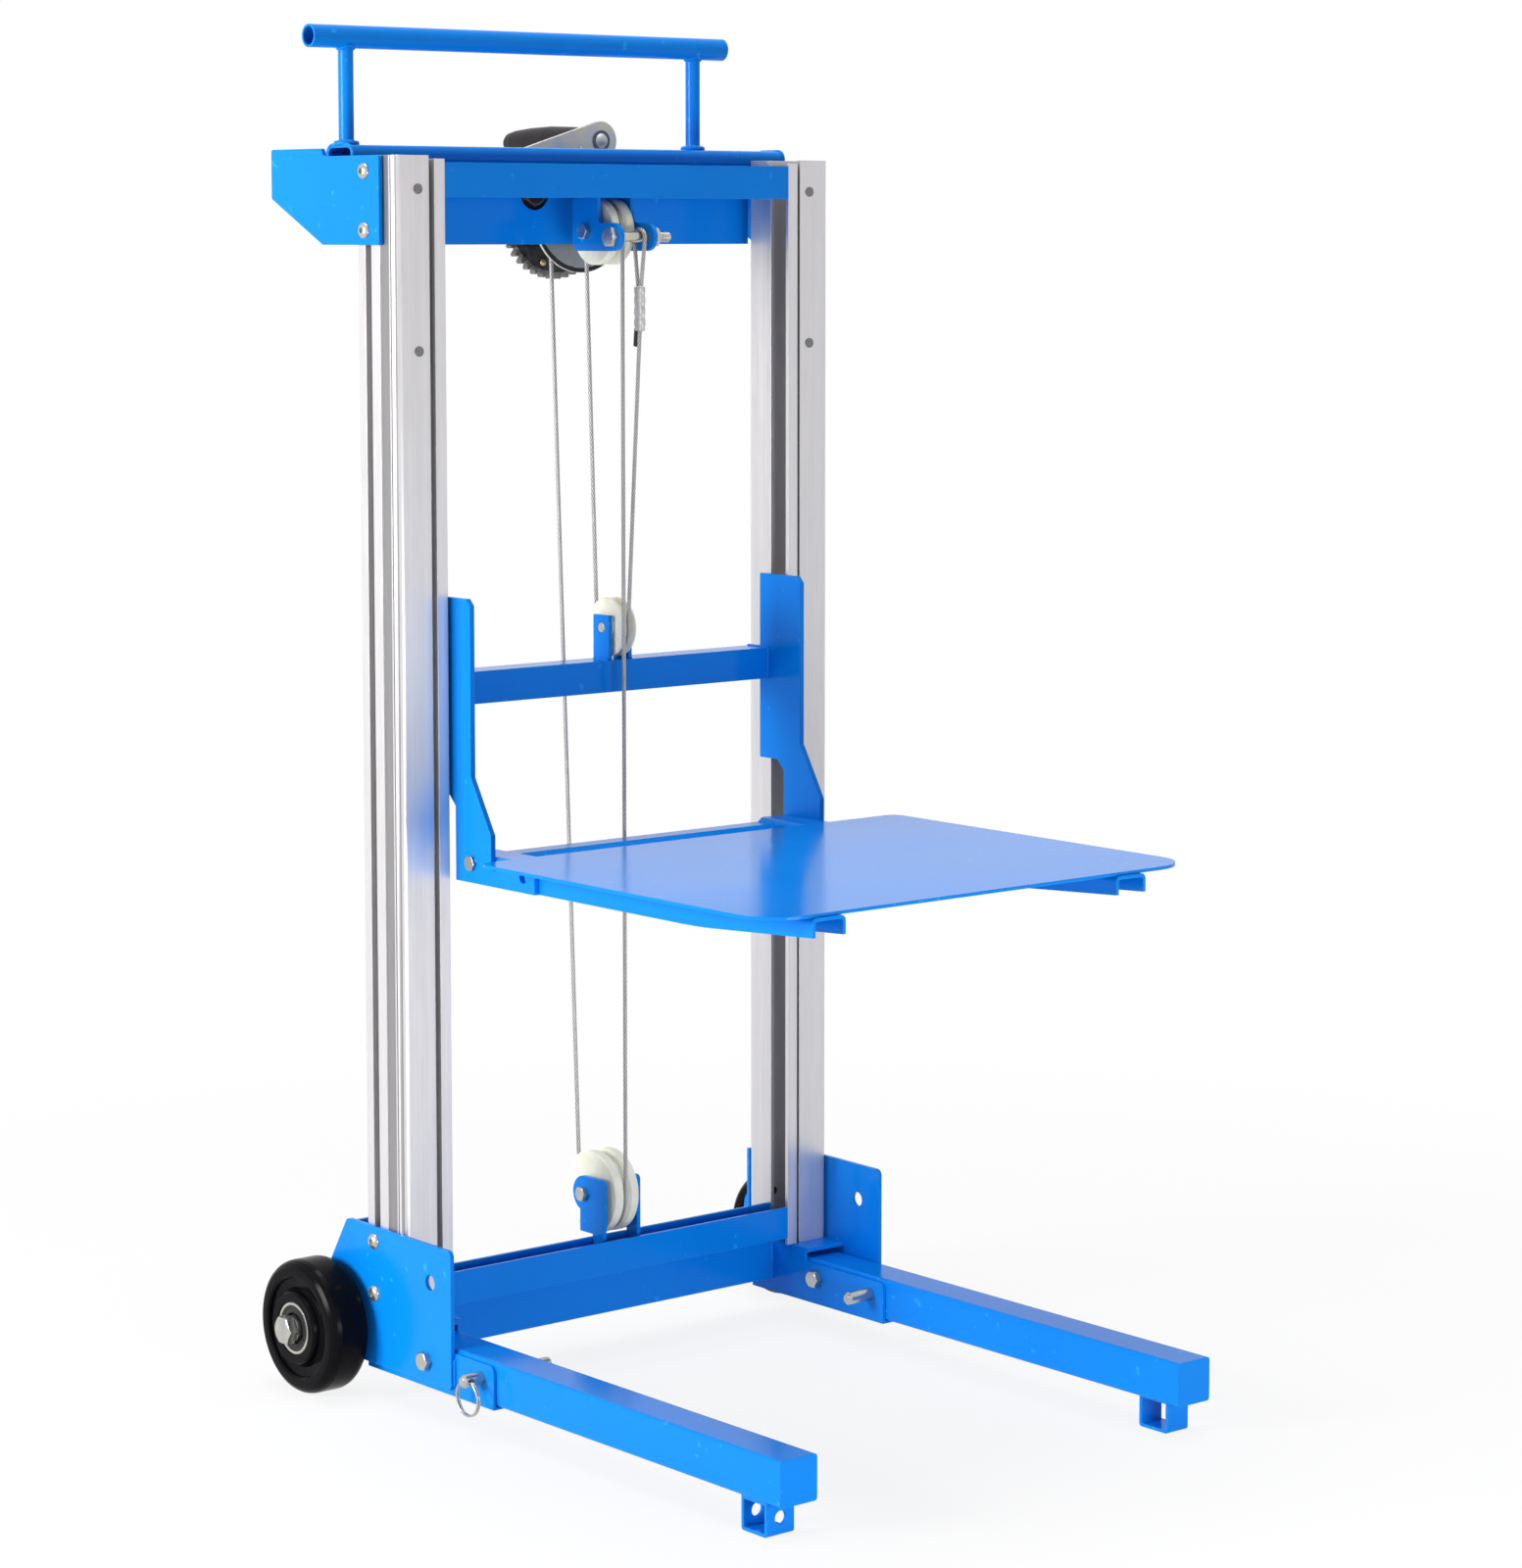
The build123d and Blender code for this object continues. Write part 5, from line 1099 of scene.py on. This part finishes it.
for wheel in ("wheel_left", "wheel_right"):
    wheel_low, wheel_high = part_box(wheel)
    hub_faces = ((wheel_low[0] + HUB_RECESS, -1), (wheel_high[0] - HUB_RECESS, 1))
    for part, rows, finish, slot in (
        ("_bearing_races", RACE_ROWS, bearing_steel, "zinc_steel"),
        ("_bearing_seals", SEAL_ROWS, seal_black, "black_plastic"),
    ):
        rings = [
            set_along_x(rows, start, way, wheel_y, wheel_z, True) for start, way in hub_faces
        ]
        piece(wheel + part, rings, finish, wheel, ROUND_CREASE)

AXLE_BOLT_HEAD = 10.0 * MM
AXLE_BOLT_END = 3.5 * MM
AXLE_NUT = 13.0 * MM
SPACER_RADIUS = 12.0 * MM
SPACER_LENGTH = 5.7 * MM
WASHER_RADIUS = 14.0 * MM
WASHER_PLAY = 0.3 * MM
head_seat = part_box("axle_bolts")[1][0] - AXLE_BOLT_HEAD
shank_in = plate_in - AXLE_NUT
washer_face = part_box("wheel_right")[0][0] + HUB_RECESS - WASHER_PLAY
axle_stack = (
    (nut(M16_FLATS, AXLE_BOLT_HEAD, True), head_seat, 1),
    (disc(SPACER_RADIUS, SPACER_LENGTH), head_seat - SPACER_LENGTH, 1),
    (disc(M16_RADIUS, head_seat - shank_in), shank_in, 1),
    (disc(WASHER_RADIUS, washer_face - plate_out), plate_out, 1),
    (nut(M16_FLATS, AXLE_NUT), plate_in, -1),
    (thread(M16_RADIUS, AXLE_BOLT_END, M16_PITCH), shank_in, -1),
)
axle_bolts = both_sides(axle_stack, wheel_y, wheel_z)
zinc_bolts("axle_bolts_zinc", axle_bolts, "base", "axle_bolts")

# Locking pins and their rings
# Round zinc plated pins through the leg channels, each with a split ring of two coils of wire
# to pull it by.

RING_WIRE = 1.0 * MM
RING_LOOP = 16.0 * MM
RING_COILS = 1.97
RING_FIRST = 1.9
RING_CREASE = 60.0
COIL_APART = 1.06
CROSS_FROM = 0.86
CROSS_SHARE = 0.22
dress(zinc, "locking_pin_left", "locking_pin_right")
coil_turn = np.linspace(0, RING_COILS * 2 * math.pi, 260)
coil_step = np.clip((coil_turn / (2 * math.pi) - CROSS_FROM) / CROSS_SHARE, 0, 1)
coil_shift = COIL_APART * RING_WIRE * (2 * (3 - 2 * coil_step) * coil_step**2 - 1)
coil_y = RING_LOOP * np.cos(coil_turn + RING_FIRST)
coil_z = RING_LOOP * np.sin(coil_turn + RING_FIRST)
wire_angle = round_angles(12)
wire_across, wire_away = RING_WIRE * np.cos(wire_angle), RING_WIRE * np.sin(wire_angle)
for side in ("left", "right"):
    coil_path = middle("pin_ring_" + side) + np.stack([coil_shift, coil_y, coil_z], 1)
    coil = shell(carried(coil_path, wire_across, wire_away, X_WAY))
    ring = piece("split_ring_" + side, [coil], zinc, "ring_" + side, RING_CREASE)
    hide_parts("pin_ring_" + side)

# Carriage, forks and platform
# Welded plates and tubes that run on nylon shoes, with forks of bent sheet and a flat platform,
# all in the blue coat.

CARRIAGE_WELD = 1.7 * MM
CARRIAGE_ROUND = 2.0 * MM
CARRIAGE_SEAM_INSET = 0.5 * MM
EAR_SEAM_OUT = 0.3 * MM
CARRIAGE_AXLE = 5.0 * MM
CHEEK_BOLT_HEAD = 1.2 * MM
CHEEK_BOLT_Y = 58.0 * MM
CHEEK_BOLT_Z = 502.0 * MM
dress(blue_coat, "carriage_plate_left", "carriage_plate_right", "carriage_cross_tube")
dress(blue_coat, "carriage_front_bar", "carriage_pulley_bracket")
dress(blue_coat, "fork_left", "fork_right", "platform_plate")
dress(pad_finish, "slide_shoes")
cross_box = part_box("carriage_cross_tube")
carriage_welds = []
for bar_low, bar_high in (cross_box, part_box("carriage_front_bar")):
    for way in (-1, 1):
        seam_x = way * (bar_high[0] - CARRIAGE_SEAM_INSET)
        carriage_welds.append(box_weld(seam_x, bar_low, bar_high, CARRIAGE_ROUND, CARRIAGE_WELD))
bracket_low, bracket_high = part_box("carriage_pulley_bracket")
for seam_x in (bracket_low[0] - EAR_SEAM_OUT, bracket_high[0] + EAR_SEAM_OUT):
    ear_ends = ((seam_x, ear_y, cross_box[1][2]) for ear_y in (bracket_low[1], bracket_high[1]))
    carriage_welds.append(seam(*ear_ends, CARRIAGE_WELD, Z_WAY))
piece("carriage_weld_beads", carriage_welds, blue_coat, "carriage", WELD_CREASE)

axle_y, axle_z = carriage_centre[1:]
axle_rows = disc(CARRIAGE_AXLE, bracket_high[0] - bracket_low[0])
carriage_axle = [
    set_along_x(nut(M8_FLATS, AXLE_HEAD, True), bracket_high[0], 1, axle_y, axle_z),
    set_along_x(axle_rows, bracket_low[0], 1, axle_y, axle_z),
]
zinc_bolts("carriage_axle_zinc", carriage_axle, "carriage", "carriage_pulley_axle")
cheek_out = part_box("carriage_plate_right")[1][0]
cheek_stack = ((nut(M8_FLATS, CHEEK_BOLT_HEAD, True), cheek_out, 1),)
cheek_bolts = both_sides(cheek_stack, CHEEK_BOLT_Y, CHEEK_BOLT_Z)
zinc_bolts("carriage_plate_bolts", cheek_bolts, "carriage")

# Floor, light and camera
# A plain white sweep that keeps a soft shadow, a large soft box to the left of the lift, a weaker
# one low in front and one overhead, and the camera at the photograph's place.

FLOOR_HALF = 30.0
FLOOR_WHITE = rgb(0.86, 0.86, 0.86)
WHITE = rgb(1.0, 1.0, 1.0)
WORLD_FILL = 0.25
floor_mesh = bpy.data.meshes.new("floor")
floor_corners = np.array([[-1, -1, 0], [1, -1, 0], [1, 1, 0], [-1, 1, 0]]) * FLOOR_HALF
floor_mesh.from_pydata(floor_corners, [], [[0, 1, 2, 3]])
floor = bpy.data.objects.new("floor", floor_mesh)
bpy.context.scene.collection.objects.link(floor)
floor_finish, floor_shader, floor_tree = new_finish(
    "floor_white", base_color=FLOOR_WHITE, roughness=0.9, specular_ior_level=0.0
)


def seen_directly(tree):
    """1 for rays from the camera and for mirrored or transmitted ones, 0 for light on things."""
    seen = tree.node("LightPath", {}, {}, "Is Camera Ray")
    kinds = seen.socket.node.outputs
    mirrored = Tone(tree.tree, kinds["Is Glossy Ray"])
    passed = Tone(tree.tree, kinds["Is Transmission Ray"])
    return tree.math("MAXIMUM", seen, tree.math("MAXIMUM", mirrored, passed))


floor_away = own_place(floor_tree).length()
fade_ends = {"From Min": 0.5, "From Max": 1.8, "To Min": 0.86, "To Max": 1.0}
floor_fade = floor_tree.node(
    "MapRange", {"interpolation_type": "SMOOTHSTEP"}, {"Value": floor_away, **fade_ends}
)
floor_glow = floor_tree.node("Emission", {}, {"Color": WHITE, "Strength": 1.0})
floor_lit = Tone(floor_tree.tree, floor_shader.outputs[0])
floor_share = floor_fade * seen_directly(floor_tree)
floor_mix = floor_tree.node("MixShader", {}, {0: floor_share, 1: floor_lit, 2: floor_glow})
floor_mix.into(floor_tree.tree.nodes["Material Output"], "Surface")
floor_mesh.materials.append(floor_finish)

world = bpy.data.worlds.new("studio")
bpy.context.scene.world = world
world.use_nodes = True
world_ground = world.node_tree.nodes["Background"]
world_ground.inputs["Color"].default_value = WHITE
world_light = WORLD_FILL + seen_directly(Tone(world.node_tree)) * (1 - WORLD_FILL)
world_light.into(world_ground, "Strength")


def soft_box(name, place, target, size, power):
    """A square area lamp of a size in metres and a power in watts that faces a point."""
    lamp = bpy.data.lights.new(name, "AREA")
    lamp.shape = "SQUARE"
    lamp.size = size
    lamp.energy = power
    made = bpy.data.objects.new(name, lamp)
    made.location = place
    made.rotation_euler = (Vector(target) - Vector(place)).to_track_quat("-Z", "Y").to_euler()
    made.visible_camera = False
    bpy.context.scene.collection.objects.link(made)


soft_box("key_light", (-3.3, 0.6, 1.1), (0.0, 0.0, 0.6), 1.2, 124.0)
soft_box("front_light", (-0.1, -1.65, 0.05), (0.0, 0.0, 0.1), 0.8, 20.0)
soft_box("top_light", (0.0, 0.3, 3.4), (0.0, 0.0, 0.4), 2.0, 70.0)

CAMERA_PLACE = (-2.4019, -2.9890, 1.0719)
CAMERA_DOWN = 5.835
CAMERA_TURN = -39.93
camera_lens = bpy.data.cameras.new("photo_view")
camera_lens.sensor_width = 36.0
camera_lens.lens = 95.91
camera_lens.shift_x = -0.0022
camera_lens.shift_y = -0.08
camera_lens.clip_end = 200.0
camera = bpy.data.objects.new("photo_view", camera_lens)
camera.location = CAMERA_PLACE
camera.rotation_euler = (math.radians(90 - CAMERA_DOWN), 0.0, math.radians(CAMERA_TURN))
bpy.context.scene.collection.objects.link(camera)
bpy.context.scene.camera = camera
